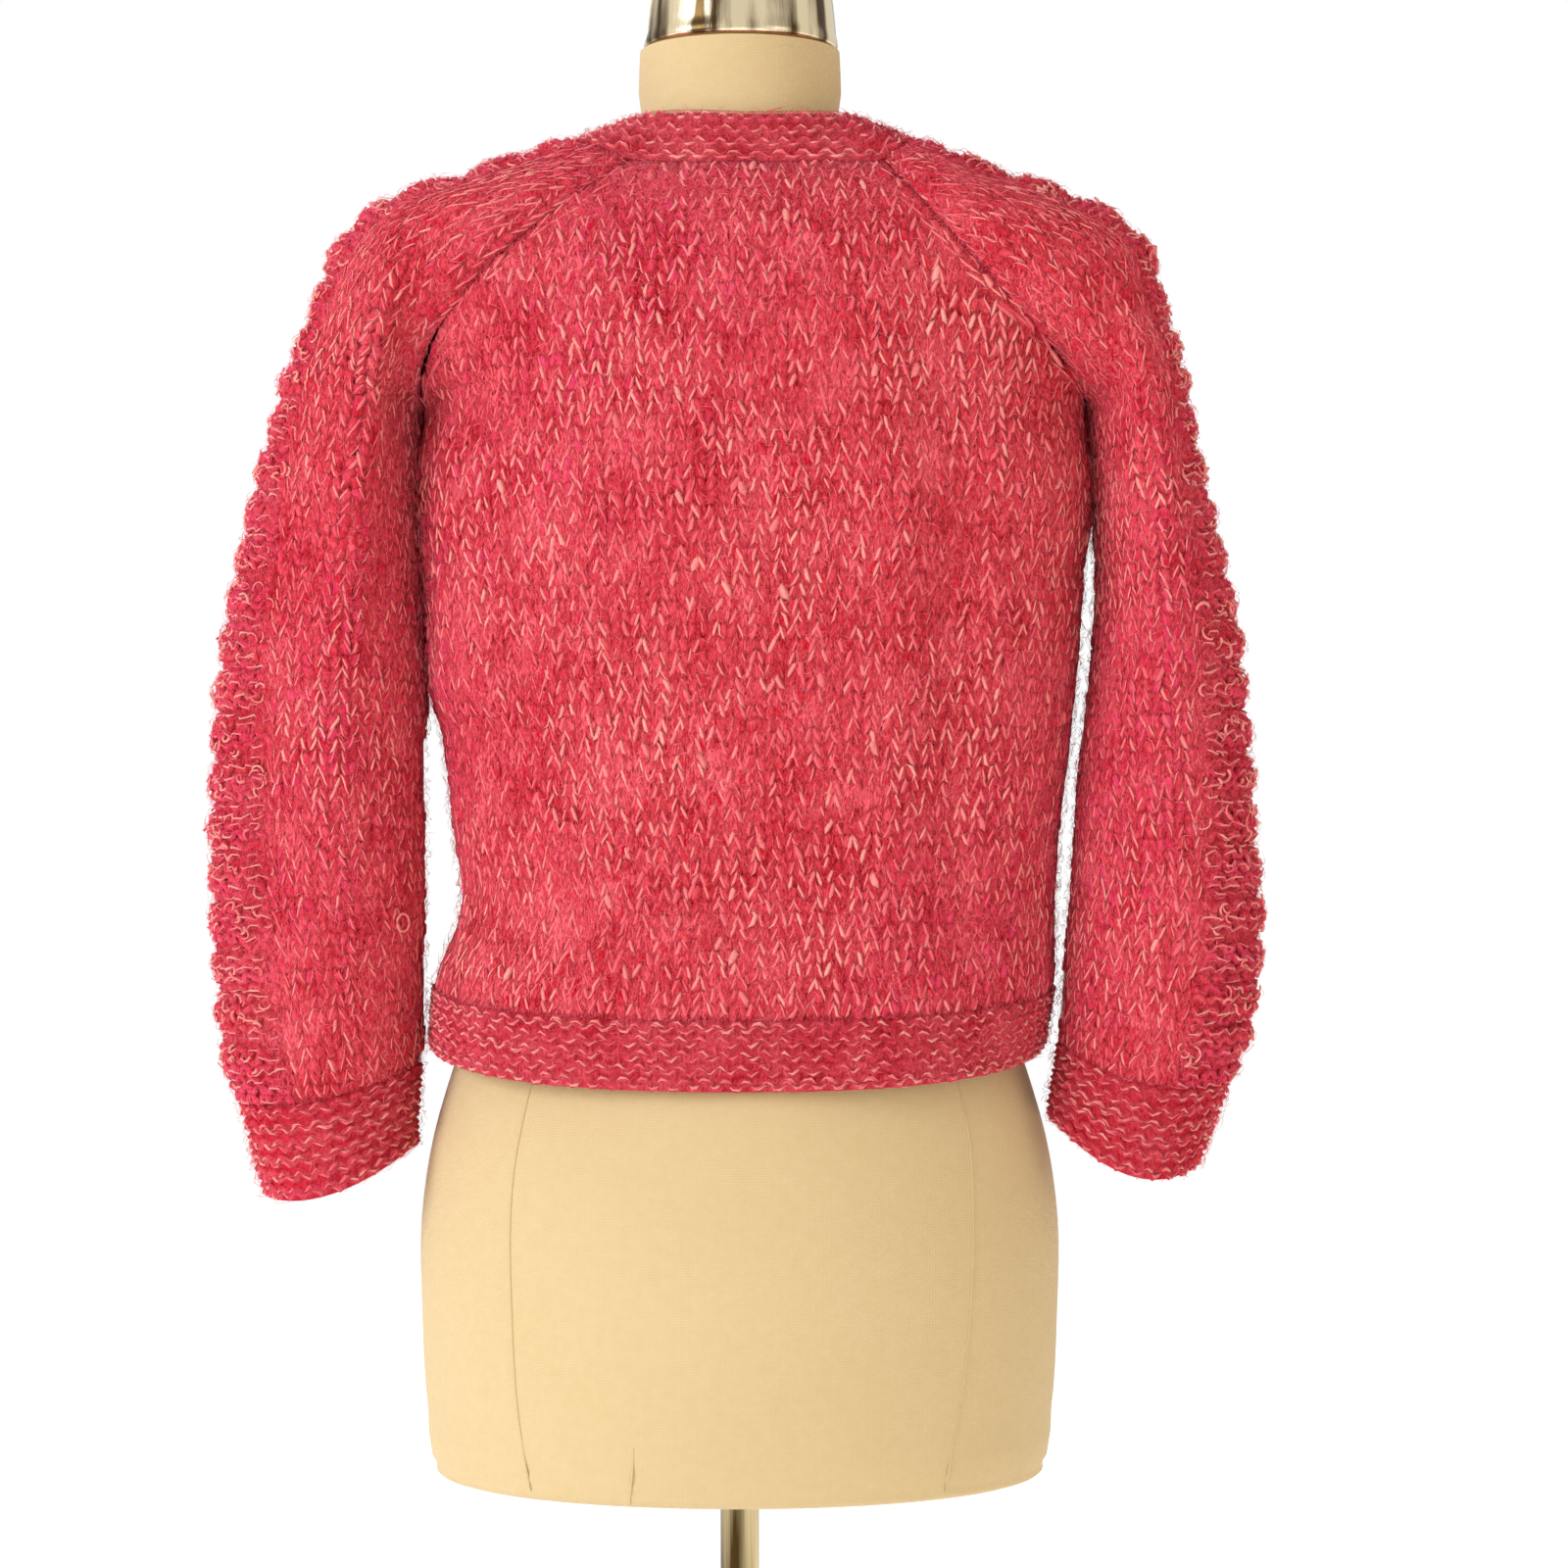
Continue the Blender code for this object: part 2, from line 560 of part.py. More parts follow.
def build_garment(collection):
    """All knitted pieces, cut from panels that share their edges."""
    neck_rows = np.linspace(-1, 0, 2 * NECK_RIDGES + 1)
    yoke_rows = 1 - np.linspace(1, 0, YOKE_CELLS + 1) ** YOKE_CROWDING
    hem_start = 2 - HEM_HEIGHT / (BODY.at("side_z", 1.0) - BODY.at("side_z", 2.0))
    body_rows = np.linspace(1, hem_start, BODY_CELLS + 1)
    hem_rows = np.linspace(hem_start, 2, 2 * HEM_RIDGES + 1)
    cuff_start = 2 - CUFF_HEIGHT / (SLEEVE_LEFT.at("inner_z", 1) - SLEEVE_LEFT.at("inner_z", 2))
    tube_rows = np.linspace(1, cuff_start, TUBE_CELLS + 1)
    cuff_rows = np.linspace(cuff_start, 2, 2 * CUFF_RIDGES + 1)
    body_depth = np.concatenate([neck_rows, yoke_rows[1:], body_rows[1:], hem_rows[1:]])
    sleeve_depth = np.concatenate([neck_rows, yoke_rows[1:], tube_rows[1:], cuff_rows[1:]])
    neck = 2 * NECK_RIDGES
    under = neck + YOKE_CELLS
    hem = under + BODY_CELLS
    cuff = under + TUBE_CELLS

    shares = np.linspace(0, 1, SLEEVE_CELLS + 1)
    back = Panel(back_surface(body_depth, BACK_CELLS))
    left = Panel(front_surface(1, body_depth)[:, ::-1])
    right = Panel(front_surface(-1, body_depth))
    sleeve_left = Panel(sleeve_surface(1, sleeve_depth, shares)[:, ::-1])
    sleeve_right = Panel(sleeve_surface(-1, sleeve_depth, shares))

    band_left = left.cut(slice(None), slice(0, BAND_CELLS + 1))
    front_left = left.cut(slice(None), slice(BAND_CELLS, None))
    front_right = right.cut(slice(None), slice(0, FRONT_CELLS + 1))
    band_right = right.cut(slice(None), slice(FRONT_CELLS, None))
    join(band_left, front_left, slice(None))
    join(front_right, band_right, slice(None))
    sides = slice(under, hem + 1)
    join(front_left, back, sides)
    join(back, front_right, sides)
    yoke = slice(neck, under + 1)
    join(sleeve_left, back, yoke)
    join(back, sleeve_right, yoke)
    join(front_left, sleeve_left, yoke)
    join(sleeve_right, front_right, yoke)
    weld_tube(sleeve_left, under)
    weld_tube(sleeve_right, under)
    settle_underarm(((back, 0), (back, -1), (front_left, -1), (front_right, 0),
                     (sleeve_left, 0), (sleeve_left, -1),
                     (sleeve_right, 0), (sleeve_right, -1)), under)
    neckband = strip((band_left, front_left, sleeve_left, back, sleeve_right, front_right,
                      band_right), slice(0, neck + 1))
    hem_band = strip((front_left, back, front_right), slice(hem, None))

    body_kept = every_second(0, hem - neck)
    for name, panel in (("back", back), ("front_left", front_left), ("front_right", front_right)):
        piece = panel.cut(slice(neck, hem + 1), slice(None))
        piece.pull_back(0, 1)
        piece.pull_back(-1, -1)
        add_wall(name, piece, collection, body_kept)
    for name, panel in (("front_band_left", band_left), ("front_band_right", band_right)):
        piece = panel.cut(slice(neck, None), slice(None))
        piece.pull_back(0, 1)
        add_wall(name, piece, collection, every_second(0, len(body_depth) - 1 - neck))
    for name, panel in (("left", sleeve_left), ("right", sleeve_right)):
        build_sleeve(name, panel, neck, under, cuff, collection)

    neckband.relief = neckband.relief + garter(neck + 1)
    neckband.pull_back(-1, -1)
    add_wall("neckband", neckband, collection, (0, neck // 2, neck))
    hem_band.relief = hem_band.relief + garter(2 * HEM_RIDGES + 1)
    hem_band.pull_back(0, 1)
    add_wall("hem_band", hem_band, collection, (0, HEM_RIDGES, 2 * HEM_RIDGES))


def build_sleeve(name, panel, neck, under, cuff, collection):
    """A sleeve with its knobbly panel, and its garter cuff."""
    sleeve = panel.cut(slice(neck, cuff + 1), slice(None))
    sleeve.relief = knobbly_panel(sleeve, under - neck)
    sleeve.relief[0] = 0
    sleeve.relief[-1] = 0
    sleeve.pull_back(0, 1)
    sleeve.pull_back(-1, -1)
    add_wall("sleeve_" + name, sleeve, collection, every_second(0, cuff - neck), under - neck)
    band = panel.cut(slice(cuff, None), slice(None))
    band.relief = band.relief + garter(2 * CUFF_RIDGES + 1)
    band.pull_back(0, 1)
    add_wall("cuff_" + name, band, collection, (0, CUFF_RIDGES, 2 * CUFF_RIDGES), 0)


def build_form(collection):
    """Dress form: oval sections from the hips to the neck, closed flat at both ends."""
    mesh = bmesh.new()
    turn = np.linspace(0, 2 * math.pi, FORM_CELLS, endpoint=False)
    cosine = np.cos(turn)
    sine = np.sin(turn)
    rings = []
    for height, half, back, front, fullness in zip(*FORM.columns.values()):
        depth = np.where(sine > 0, back, front)
        radius = (np.abs(cosine) ** fullness + np.abs(sine) ** fullness) ** (-1 / fullness)
        ring = points(half * radius * cosine, depth * radius * sine, height)
        rings.append([mesh.verts.new(point) for point in ring])
    for low, high in zip(rings, rings[1:]):
        for place in range(FORM_CELLS):
            after = (place + 1) % FORM_CELLS
            mesh.faces.new((low[place], low[after], high[after], high[place]))
    mesh.faces.new(rings[0])
    mesh.faces.new(rings[-1])
    bmesh.ops.recalc_face_normals(mesh, faces=mesh.faces)
    data = bpy.data.meshes.new("dress_form")
    mesh.to_mesh(data)
    mesh.free()
    add_object("dress_form", data, "linen", collection)


def build_turned(name, outline, steps, collection):
    """A round steel piece: an outline from its top's middle to its bottom's, turned about Z."""
    data = bpy.data.meshes.new(name)
    corners = [(radius, 0, height) for radius, height in outline]
    data.from_pydata(corners, [(i, i + 1) for i in range(len(corners) - 1)], [])
    made = add_object(name, data, "steel", collection)
    screw = made.modifiers.new("turning", "SCREW")
    screw.steps = steps
    screw.render_steps = steps
    screw.use_merge_vertices = True
    screw.merge_threshold = 0.00001
    screw.use_smooth_shade = True


def build_stand(collection):
    """Neck cap, pole and foot."""
    build_turned("neck_cap", CAP_OUTLINE, CAP_CELLS, collection)
    build_turned("base", BASE_OUTLINE, BASE_CELLS, collection)
    low = BASE_HEIGHT + TOUCH
    high = FORM.keys[0] - TOUCH
    pole = ((0, high), (POLE_RADIUS, high), (POLE_RADIUS, low), (0, low))
    build_turned("pole", pole, POLE_CELLS, collection)


def main():
    """Clear the scene and build the cardigan on its form."""
    for old in list(bpy.data.objects):
        bpy.data.objects.remove(old, do_unlink=True)
    collection = bpy.data.collections.new("cardigan_on_dress_form")
    bpy.context.scene.collection.children.link(collection)
    build_garment(collection)
    build_form(collection)
    build_stand(collection)


main()
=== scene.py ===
# %% [markdown]
# # A hand-knit cardigan on a dress form
# The cardigan is seen from its back. It is knitted loosely in a thick, fuzzy yarn with a thin,
# paler strand beside it, and it hangs on a limbless, linen-covered form with a steel cap.
# Here every piece is worked out as surfaces and paths in numpy. First the cut of the garment
# gives smooth panels, then yarn is laid on them stitch by stitch, then loose fibres are added.
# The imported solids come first: they are the frame that every piece has to fit.

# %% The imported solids
import math
from functools import partial

import bpy
import numpy as np
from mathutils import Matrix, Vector


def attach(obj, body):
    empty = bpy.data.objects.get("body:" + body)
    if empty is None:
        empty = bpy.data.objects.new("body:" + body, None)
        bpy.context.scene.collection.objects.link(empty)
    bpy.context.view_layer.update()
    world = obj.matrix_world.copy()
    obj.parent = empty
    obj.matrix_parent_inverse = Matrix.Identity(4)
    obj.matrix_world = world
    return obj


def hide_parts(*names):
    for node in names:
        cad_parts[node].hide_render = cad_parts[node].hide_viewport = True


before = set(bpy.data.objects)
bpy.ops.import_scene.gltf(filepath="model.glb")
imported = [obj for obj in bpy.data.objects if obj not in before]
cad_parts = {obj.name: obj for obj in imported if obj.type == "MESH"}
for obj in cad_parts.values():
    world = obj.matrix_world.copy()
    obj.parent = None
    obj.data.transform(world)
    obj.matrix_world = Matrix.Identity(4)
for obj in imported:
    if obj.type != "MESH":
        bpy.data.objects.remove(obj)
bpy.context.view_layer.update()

# %% [markdown]
# ## Camera, floor and light
# The camera is level, 2 m behind the garment, with a lens that is long enough to keep the
# outline honest. The floor is a plain pale sheet far below the picture. The light is soft: a
# broad, slightly cool lamp from the left of the picture makes that side paler, a weaker one
# fills the right, and a third lights the front, which only other views show. A pale sky lights
# the rest, and it is whiter to the camera than to the cloth.

# %% Camera and floor
CAMERA_AT = np.array((-0.025, 2.0, 1.09))
FOCAL_PIXELS = 3600
PICTURE_PIXELS = 1600
SENSOR_MM = 36
FLOOR_HALF = 6.0


def add_camera():
    """A level camera that looks along -Y, with the focal length in pixels turned into mm."""
    data = bpy.data.cameras.new("camera")
    data.sensor_width = SENSOR_MM
    data.lens = FOCAL_PIXELS / PICTURE_PIXELS * SENSOR_MM
    camera = bpy.data.objects.new("camera", data)
    camera.location = CAMERA_AT
    camera.rotation_euler = (math.pi / 2, 0, math.pi)
    bpy.context.scene.collection.objects.link(camera)
    bpy.context.scene.camera = camera
    return camera


def add_floor():
    """A square sheet in the plane z = 0, with its four corners FLOOR_HALF away in x and y."""
    mesh = bpy.data.meshes.new("floor")
    corners = [(x * FLOOR_HALF, y * FLOOR_HALF, 0) for x, y in ((-1, -1), (1, -1), (1, 1), (-1, 1))]
    mesh.from_pydata(corners, [], [(0, 1, 2, 3)])
    floor = bpy.data.objects.new("floor", mesh)
    bpy.context.scene.collection.objects.link(floor)
    return floor


camera = add_camera()
floor = add_floor()
print("lens", round(camera.data.lens, 1), "mm")

# %% Light
WHITE = (1.0, 1.0, 1.0)
COOL = (0.92, 1.05, 1.30)
LAMPS = (
    # name, place, what it faces, width and height, watts, colour
    ("key", (2.5, 1.9, 2.0), (0.0, 0.0, 1.15), (1.6, 1.6), 70.0, COOL),
    ("fill", (-2.6, 2.2, 1.5), (0.0, 0.0, 1.15), (1.6, 1.8), 11.0, WHITE),
    ("front", (0.6, -2.6, 2.1), (0.0, 0.0, 1.15), (2.0, 1.6), 22.0, WHITE),
)
SKY_FOR_CLOTH = 0.72
SKY_FOR_CAMERA = 1.0


def add_lamp(name, place, target, size, watts, colour):
    """A rectangular lamp at a place, turned so that its -Z side faces the target."""
    data = bpy.data.lights.new(name, "AREA")
    data.shape = "RECTANGLE"
    data.size, data.size_y = size
    data.energy = watts
    data.color = colour
    lamp = bpy.data.objects.new(name, data)
    lamp.location = place
    lamp.rotation_euler = (Vector(target) - Vector(place)).to_track_quat("-Z", "Y").to_euler()
    bpy.context.scene.collection.objects.link(lamp)


def add_sky():
    """A white sky, with one strength for the camera's own rays and a lower one for light."""
    world = bpy.data.worlds.new("sky")
    bpy.context.scene.world = world
    world.use_nodes = True
    tree = world.node_tree
    tree.nodes.clear()
    output = tree.nodes.new("ShaderNodeOutputWorld")
    mix = tree.nodes.new("ShaderNodeMixShader")
    path = tree.nodes.new("ShaderNodeLightPath")
    tree.links.new(path.outputs["Is Camera Ray"], mix.inputs["Fac"])
    for place, strength in ((1, SKY_FOR_CLOTH), (2, SKY_FOR_CAMERA)):
        glow = tree.nodes.new("ShaderNodeBackground")
        glow.inputs["Strength"].default_value = strength
        glow.inputs["Color"].default_value = (1, 1, 1, 1)
        tree.links.new(glow.outputs["Background"], mix.inputs[place])
    tree.links.new(mix.outputs["Shader"], output.inputs["Surface"])


for lamp in LAMPS:
    add_lamp(*lamp)
add_sky()
bpy.context.scene.view_settings.view_transform = "Standard"
print("lamps", [lamp[0] for lamp in LAMPS])

# %% [markdown]
# ## Shader maths
# A material is easier to read as a formula than as a picture of boxes. A small class holds one
# output socket, and adding or multiplying it adds the Math nodes. A second class holds one
# material and makes any other node from its type, its settings and its inputs.

# %% Shader helpers
class Wire:
    """One number that changes over a surface. Arithmetic on it adds Math nodes."""

    def __init__(self, tree, socket):
        self.tree = tree
        self.socket = socket

    def math(self, operation, first, second=0.0, clamp=False):
        """A Math node with these two inputs."""
        node = self.tree.nodes.new("ShaderNodeMath")
        node.operation = operation
        node.use_clamp = clamp
        join_up(self.tree, node.inputs[0], first)
        join_up(self.tree, node.inputs[1], second)
        return Wire(self.tree, node.outputs[0])

    def __add__(self, other):
        return self.math("ADD", self, other)

    def __radd__(self, other):
        return self.math("ADD", other, self)

    def __sub__(self, other):
        return self.math("SUBTRACT", self, other)

    def __rsub__(self, other):
        return self.math("SUBTRACT", other, self)

    def __mul__(self, other):
        return self.math("MULTIPLY", self, other)

    def __rmul__(self, other):
        return self.math("MULTIPLY", other, self)

    def clamped(self):
        """The same number, held between 0 and 1."""
        return self.math("ADD", self, 0.0, clamp=True)


def join_up(tree, socket, value):
    """Link a wire to a socket, or set a plain number, colour or vector on it."""
    if isinstance(value, Wire):
        tree.links.new(value.socket, socket)
    else:
        socket.default_value = value


# A Mix node has inputs and outputs of the same names for numbers, vectors and colours, so the
# ones for colours are picked by their places
MIX_LOW, MIX_HIGH, MIX_RESULT = 6, 7, 2


class Finish:
    """A Principled material whose varying inputs are given as wires."""

    def __init__(self, name, **constants):
        self.material = bpy.data.materials.new(name)
        self.material.use_nodes = True
        self.tree = self.material.node_tree
        self.shader = self.tree.nodes["Principled BSDF"]
        for socket, value in constants.items():
            self.shader.inputs[socket.replace("_", " ")].default_value = value

    def node(self, kind, output=0, settings=(), inputs=()):
        """Any node, from its type, its settings and the values or wires of its inputs."""
        node = self.tree.nodes.new("ShaderNode" + kind)
        for name, value in dict(settings).items():
            setattr(node, name, value)
        for name, value in dict(inputs).items():
            join_up(self.tree, node.inputs[name], value)
        return Wire(self.tree, node.outputs[output])

    def place(self):
        """Object coordinates, in metres."""
        return self.node("TexCoord", "Object")

    def drawn_out(self, share):
        """Object coordinates whose z is made this much smaller, so that a noise gets longer."""
        return self.node("Mapping", "Vector", inputs={"Vector": self.place(),
                                                      "Scale": (1.0, 1.0, share)})

    def noise(self, scale, detail=2.0, where=None, swirl=0.0):
        """Smooth noise from about 0 to 1, with this many lumps in a metre."""
        inputs = {"Vector": where or self.place(), "Scale": scale, "Detail": detail,
                  "Distortion": swirl}
        return self.node("TexNoise", "Fac", inputs=inputs)

    def attribute(self, name):
        """A number that the mesh holds at each of its points."""
        return self.node("Attribute", "Fac", {"attribute_name": name})

    def blend(self, amount, low, high):
        """A colour between two others."""
        node = self.tree.nodes.new("ShaderNodeMix")
        node.data_type = "RGBA"
        join_up(self.tree, node.inputs["Factor"], amount)
        join_up(self.tree, node.inputs[MIX_LOW], low)
        join_up(self.tree, node.inputs[MIX_HIGH], high)
        return Wire(self.tree, node.outputs[MIX_RESULT])

    def bump(self, height, distance, strength=1.0):
        """A normal that is tilted by a height."""
        return self.node("Bump", "Normal", inputs={"Height": height, "Distance": distance,
                                                   "Strength": strength})

    def feed(self, **wires):
        """Link wires to the shader's own inputs."""
        for socket, wire in wires.items():
            join_up(self.tree, self.shader.inputs[socket.replace("_", " ")], wire)


def linear(red, green, blue):
    """A screen colour, 0 to 255, as the linear colour that a shader takes."""
    value = np.array((red, green, blue)) / 255
    low = value / 12.92
    high = ((value + 0.055) / 1.055) ** 2.4
    return (*np.where(value <= 0.04045, low, high).tolist(), 1.0)


print("a mid grey is", [round(x, 3) for x in linear(128, 128, 128)])

# %% [markdown]
# ## Yarn, strand, fibre, linen and steel
# The thick yarn is a brushed mohair: crimson in its shade, pink where its nap catches light.
# Its colour drifts over the garment in soft patches, and each stitch has a tone of its own,
# because the yarn is marled. The thin strand beside it is a matt salmon to cream. The nap is
# given as sheen, which only shows at a grazing angle, as real fuzz does.

# %% Knit materials
PINK_NAP = linear(255, 120, 165)


def yarn_finish():
    """Mohair: crimson to pink by patch, by stitch and by fibre, with bumps along its fibres."""
    finish = Finish("mohair_yarn", Roughness=0.9, Sheen_Weight=0.20, Sheen_Roughness=0.5,
                    Sheen_Tint=PINK_NAP, Specular_IOR_Level=0.05, Subsurface_Weight=0.25,
                    Subsurface_Radius=(1.0, 0.3, 0.3), Subsurface_Scale=0.003)
    tone = finish.attribute("tone")
    patch = finish.noise(22.0, 3.0)
    tuft = finish.noise(210.0, 3.0)
    fibre = finish.noise(800.0, 3.0, finish.drawn_out(0.3))
    amount = (0.30 * tone + 1.0 * patch + 0.9 * tuft + 1.5 * fibre - 1.42).clamped()
    colour = finish.blend(amount, linear(203, 2, 24), linear(250, 100, 104))
    rosy = (finish.attribute("rosy") * (0.25 + 0.5 * tuft)).clamped()
    finish.feed(Base_Color=finish.blend(rosy, colour, linear(250, 70, 124)),
                Normal=finish.bump(0.6 * tuft + fibre, 0.0030))
    return finish.material


def strand_finish():
    """Thin matt strand: salmon to cream, by the tone of each piece of it."""
    finish = Finish("salmon_strand", Roughness=0.7, Sheen_Weight=0.25, Specular_IOR_Level=0.25)
    tone = finish.attribute("tone")
    fibre = finish.noise(1200.0, 2.0)
    amount = (0.95 * tone + 0.5 * fibre - 0.38).clamped()
    finish.feed(Base_Color=finish.blend(amount, linear(240, 86, 94), linear(251, 166, 142)),
                Normal=finish.bump(fibre, 0.0005))
    return finish.material


def core_shade_finish():
    """The cloth behind the stitches: rough, with a soft knitted grain, in a deep crimson that is
    darker than the yarn as painted shade between the loops.
    """
    finish = Finish("knit_core_painted_shade", Roughness=0.95, Specular_IOR_Level=0.05)
    grain = finish.noise(260.0, 3.0)
    patch = finish.noise(20.0, 2.0)
    amount = (0.9 * grain + 0.3 * patch - 0.2).clamped()
    finish.feed(Base_Color=finish.blend(amount, linear(176, 8, 34), linear(236, 50, 66)),
                Normal=finish.bump(grain, 0.003))
    return finish.material


def fibre_finish():
    """Single loose fibres: pink, paler on some than on others."""
    finish = Finish("loose_fibre", Roughness=0.6, Specular_IOR_Level=0.2)
    tone = finish.attribute("tone")
    finish.feed(Base_Color=finish.blend(tone, linear(238, 36, 70), linear(254, 138, 146)))
    return finish.material


def haze_finish():
    """Nap over the stitches: mostly open, and closed by streaks, swirls and soft patches."""
    finish = Finish("soft_haze", Roughness=1.0, Specular_IOR_Level=0.0, Sheen_Weight=0.30,
                    Sheen_Roughness=0.4, Sheen_Tint=linear(255, 170, 185))
    streak = finish.noise(620.0, 3.0, finish.drawn_out(0.35), 1.2)
    patch = finish.noise(34.0, 2.0)
    cover = finish.attribute("cover")
    finish.feed(Base_Color=finish.blend((1.4 * patch + 1.5 * streak - 1.02).clamped(),
                                        linear(194, 2, 22), linear(252, 104, 112)),
                Alpha=(cover * (2.8 * streak + 0.6 * patch - 1.15)).clamped(),
                Normal=finish.bump(streak, 0.0015))
    return finish.material


yarn_material = yarn_finish()
strand_material = strand_finish()
core_shade_material = core_shade_finish()
fibre_material = fibre_finish()
haze_material = haze_finish()
print("knit materials", [m.name for m in bpy.data.materials])

# %% Linen, thread and steel materials
def linen_finish():
    """Cream linen: a plain weave of two sets of threads, with slubs and a faint unevenness."""
    finish = Finish("cream_linen", Roughness=0.8, Sheen_Weight=0.12, Specular_IOR_Level=0.2)
    across, up = (finish.node("TexWave", "Fac", {"bands_direction": way},
                              {"Vector": finish.place(), "Scale": 380.0, "Distortion": 2.0,
                               "Detail": 1.0, "Detail Scale": 4.0}) for way in "XZ")
    patch = finish.noise(7.0, 3.0)
    slub = finish.noise(160.0, 2.0)
    weave = 0.5 * across + 0.5 * up
    amount = (0.35 * patch + 0.3 * slub + 0.35 * weave).clamped()
    finish.feed(Base_Color=finish.blend(amount, linear(202, 168, 112), linear(222, 194, 143)),
                Normal=finish.bump(weave + 0.6 * slub, 0.0004, 0.6))
    return finish.material


def steel_finish(name, pale, dark, roughness):
    """Brushed steel: fine streaks up a wall, broad dark and pale bands there that are painted
    reflections, and an even tone on a flat.
    """
    finish = Finish(name, Metallic=1.0)
    stretched = finish.drawn_out(0.03)
    streak = finish.noise(900.0, 3.0, stretched)
    # broad gives wide dark and pale bands up a wall: painted reflections of a dark room, not the
    # steel's own colour
    broad = finish.noise(85.0, 1.0, stretched)
    wall = finish.attribute("wall")
    amount = (0.4 * streak + 0.4 + wall * (5.0 * broad - 2.6)).clamped()
    finish.feed(Base_Color=finish.blend(amount, dark, pale),
                Roughness=roughness + 0.16 * streak,
                Normal=finish.bump(wall * streak, 0.0002, 0.5))
    return finish.material


def thread_finish():
    """Matt sewing thread in the seams of the form's cover."""
    finish = Finish("seam_thread", Roughness=0.8)
    twist = finish.noise(1500.0, 1.0)
    finish.feed(Base_Color=finish.blend(twist, linear(188, 156, 106), linear(216, 186, 134)))
    return finish.material


linen_material = linen_finish()
thread_material = thread_finish()
# The dark and pale colours of each steel are also the ends of its painted reflections, which the
# broad bands up a wall swing between
cap_material = steel_finish("cap_steel", linear(248, 228, 188), linear(80, 60, 34), 0.14)
stand_material = steel_finish("stand_steel", linear(236, 212, 160), linear(70, 52, 24), 0.22)
floor_finish = Finish("pale_floor", Roughness=0.9, Base_Color=(0.9, 0.9, 0.9, 1),
                      Emission_Color=(1, 1, 1, 1), Emission_Strength=0.45)
floor.data.materials.append(floor_finish.material)
print("materials", len(bpy.data.materials))

# %% [markdown]
# ## The cut of the garment
# The garment is one surface with raglan seams. A row of it has a depth: -1 to 0 is the
# neckband, 0 to 1 the yoke down to the underarm, and 1 to 2 the body or a sleeve below it.
# Short tables hold its sizes, and a smooth curve through each table's rows gives the rest.

# %% Tables and small helpers
class Table:
    """A short table with named columns, read along a smooth curve through its rows."""

    def __init__(self, names, *rows):
        self.columns = dict(zip(names.split(), np.array(rows, dtype=float).T))
        self.keys = next(iter(self.columns.values()))

    def at(self, name, place):
        """Value of a column at a place, by cubic pieces whose slopes come from the neighbours."""
        keys = self.keys
        values = self.columns[name]
        place = np.clip(np.asarray(place, dtype=float), keys[0], keys[-1])
        slopes = np.gradient(values, keys)
        low = np.clip(np.searchsorted(keys, place, side="right") - 1, 0, len(keys) - 2)
        span = keys[low + 1] - keys[low]
        t = (place - keys[low]) / span
        rise = values[low + 1] - values[low]
        start = slopes[low] * span
        end = slopes[low + 1] * span
        return values[low] + t * start + t**2 * (3 * rise - 2 * start - end) \
            + t**3 * (start + end - 2 * rise)


def points(x, y, z):
    """One array of points from three arrays of coordinates."""
    return np.stack(np.broadcast_arrays(x, y, z), axis=-1)


def unit(vectors):
    """The same directions with length 1."""
    return vectors / np.maximum(np.linalg.norm(vectors, axis=-1, keepdims=True), 1e-9)


# Top edge of the neckband: half widths, then the heights at the sides, back and front
NECKLINE = {"left": 0.0645, "right": 0.0695, "back": 0.0600, "front": 0.0880,
            "side_z": 1.4640, "back_z": 1.4600, "front_z": 1.4080}

# Raglan seams: x is shared by the back and the front seam of a side
RAGLAN = Table(
    "depth  left    right   back_y  back_z  front_y  front_z",
    (0.00, 0.0600, 0.0800, 0.0720, 1.4310, -0.0670, 1.4200),
    (0.25, 0.0960, 0.1030, 0.0900, 1.4035, -0.0880, 1.3990),
    (0.50, 0.1360, 0.1330, 0.0940, 1.3690, -0.0960, 1.3670),
    (0.75, 0.1660, 0.1680, 0.0760, 1.3320, -0.0780, 1.3310),
    (0.90, 0.1750, 0.1890, 0.0480, 1.3090, -0.0420, 1.3090),
    (1.00, 0.1775, 0.1955, 0.0110, 1.2980, 0.0110, 1.2980),
)

# Top of the shoulder and half the depth of the sleeve, from the neckband to the underarm
SHOULDER = Table(
    "depth  left    right   y       z       half_depth",
    (0.00, 0.0970, 0.1000, 0.0060, 1.4495, 0.0715),
    (0.20, 0.1450, 0.1430, 0.0060, 1.4290, 0.0890),
    (0.40, 0.1900, 0.1850, 0.0070, 1.4155, 0.0990),
    (0.60, 0.2195, 0.2235, 0.0090, 1.3920, 0.0975),
    (0.80, 0.2345, 0.2350, 0.0100, 1.3540, 0.0905),
    (1.00, 0.2515, 0.2450, 0.0110, 1.3150, 0.0760),
)

# Middle of the back and of the front, down the yoke
MIDDLE_YOKE = Table(
    "depth  back_y  back_z  front_y  front_z",
    (0.00, 0.0820, 1.4283, -0.1060, 1.3740),
    (0.25, 0.1000, 1.3990, -0.1180, 1.3550),
    (0.50, 0.1090, 1.3660, -0.1290, 1.3370),
    (0.75, 0.1125, 1.3330, -0.1380, 1.3190),
    (1.00, 0.1130, 1.3000, -0.1440, 1.3000),
)

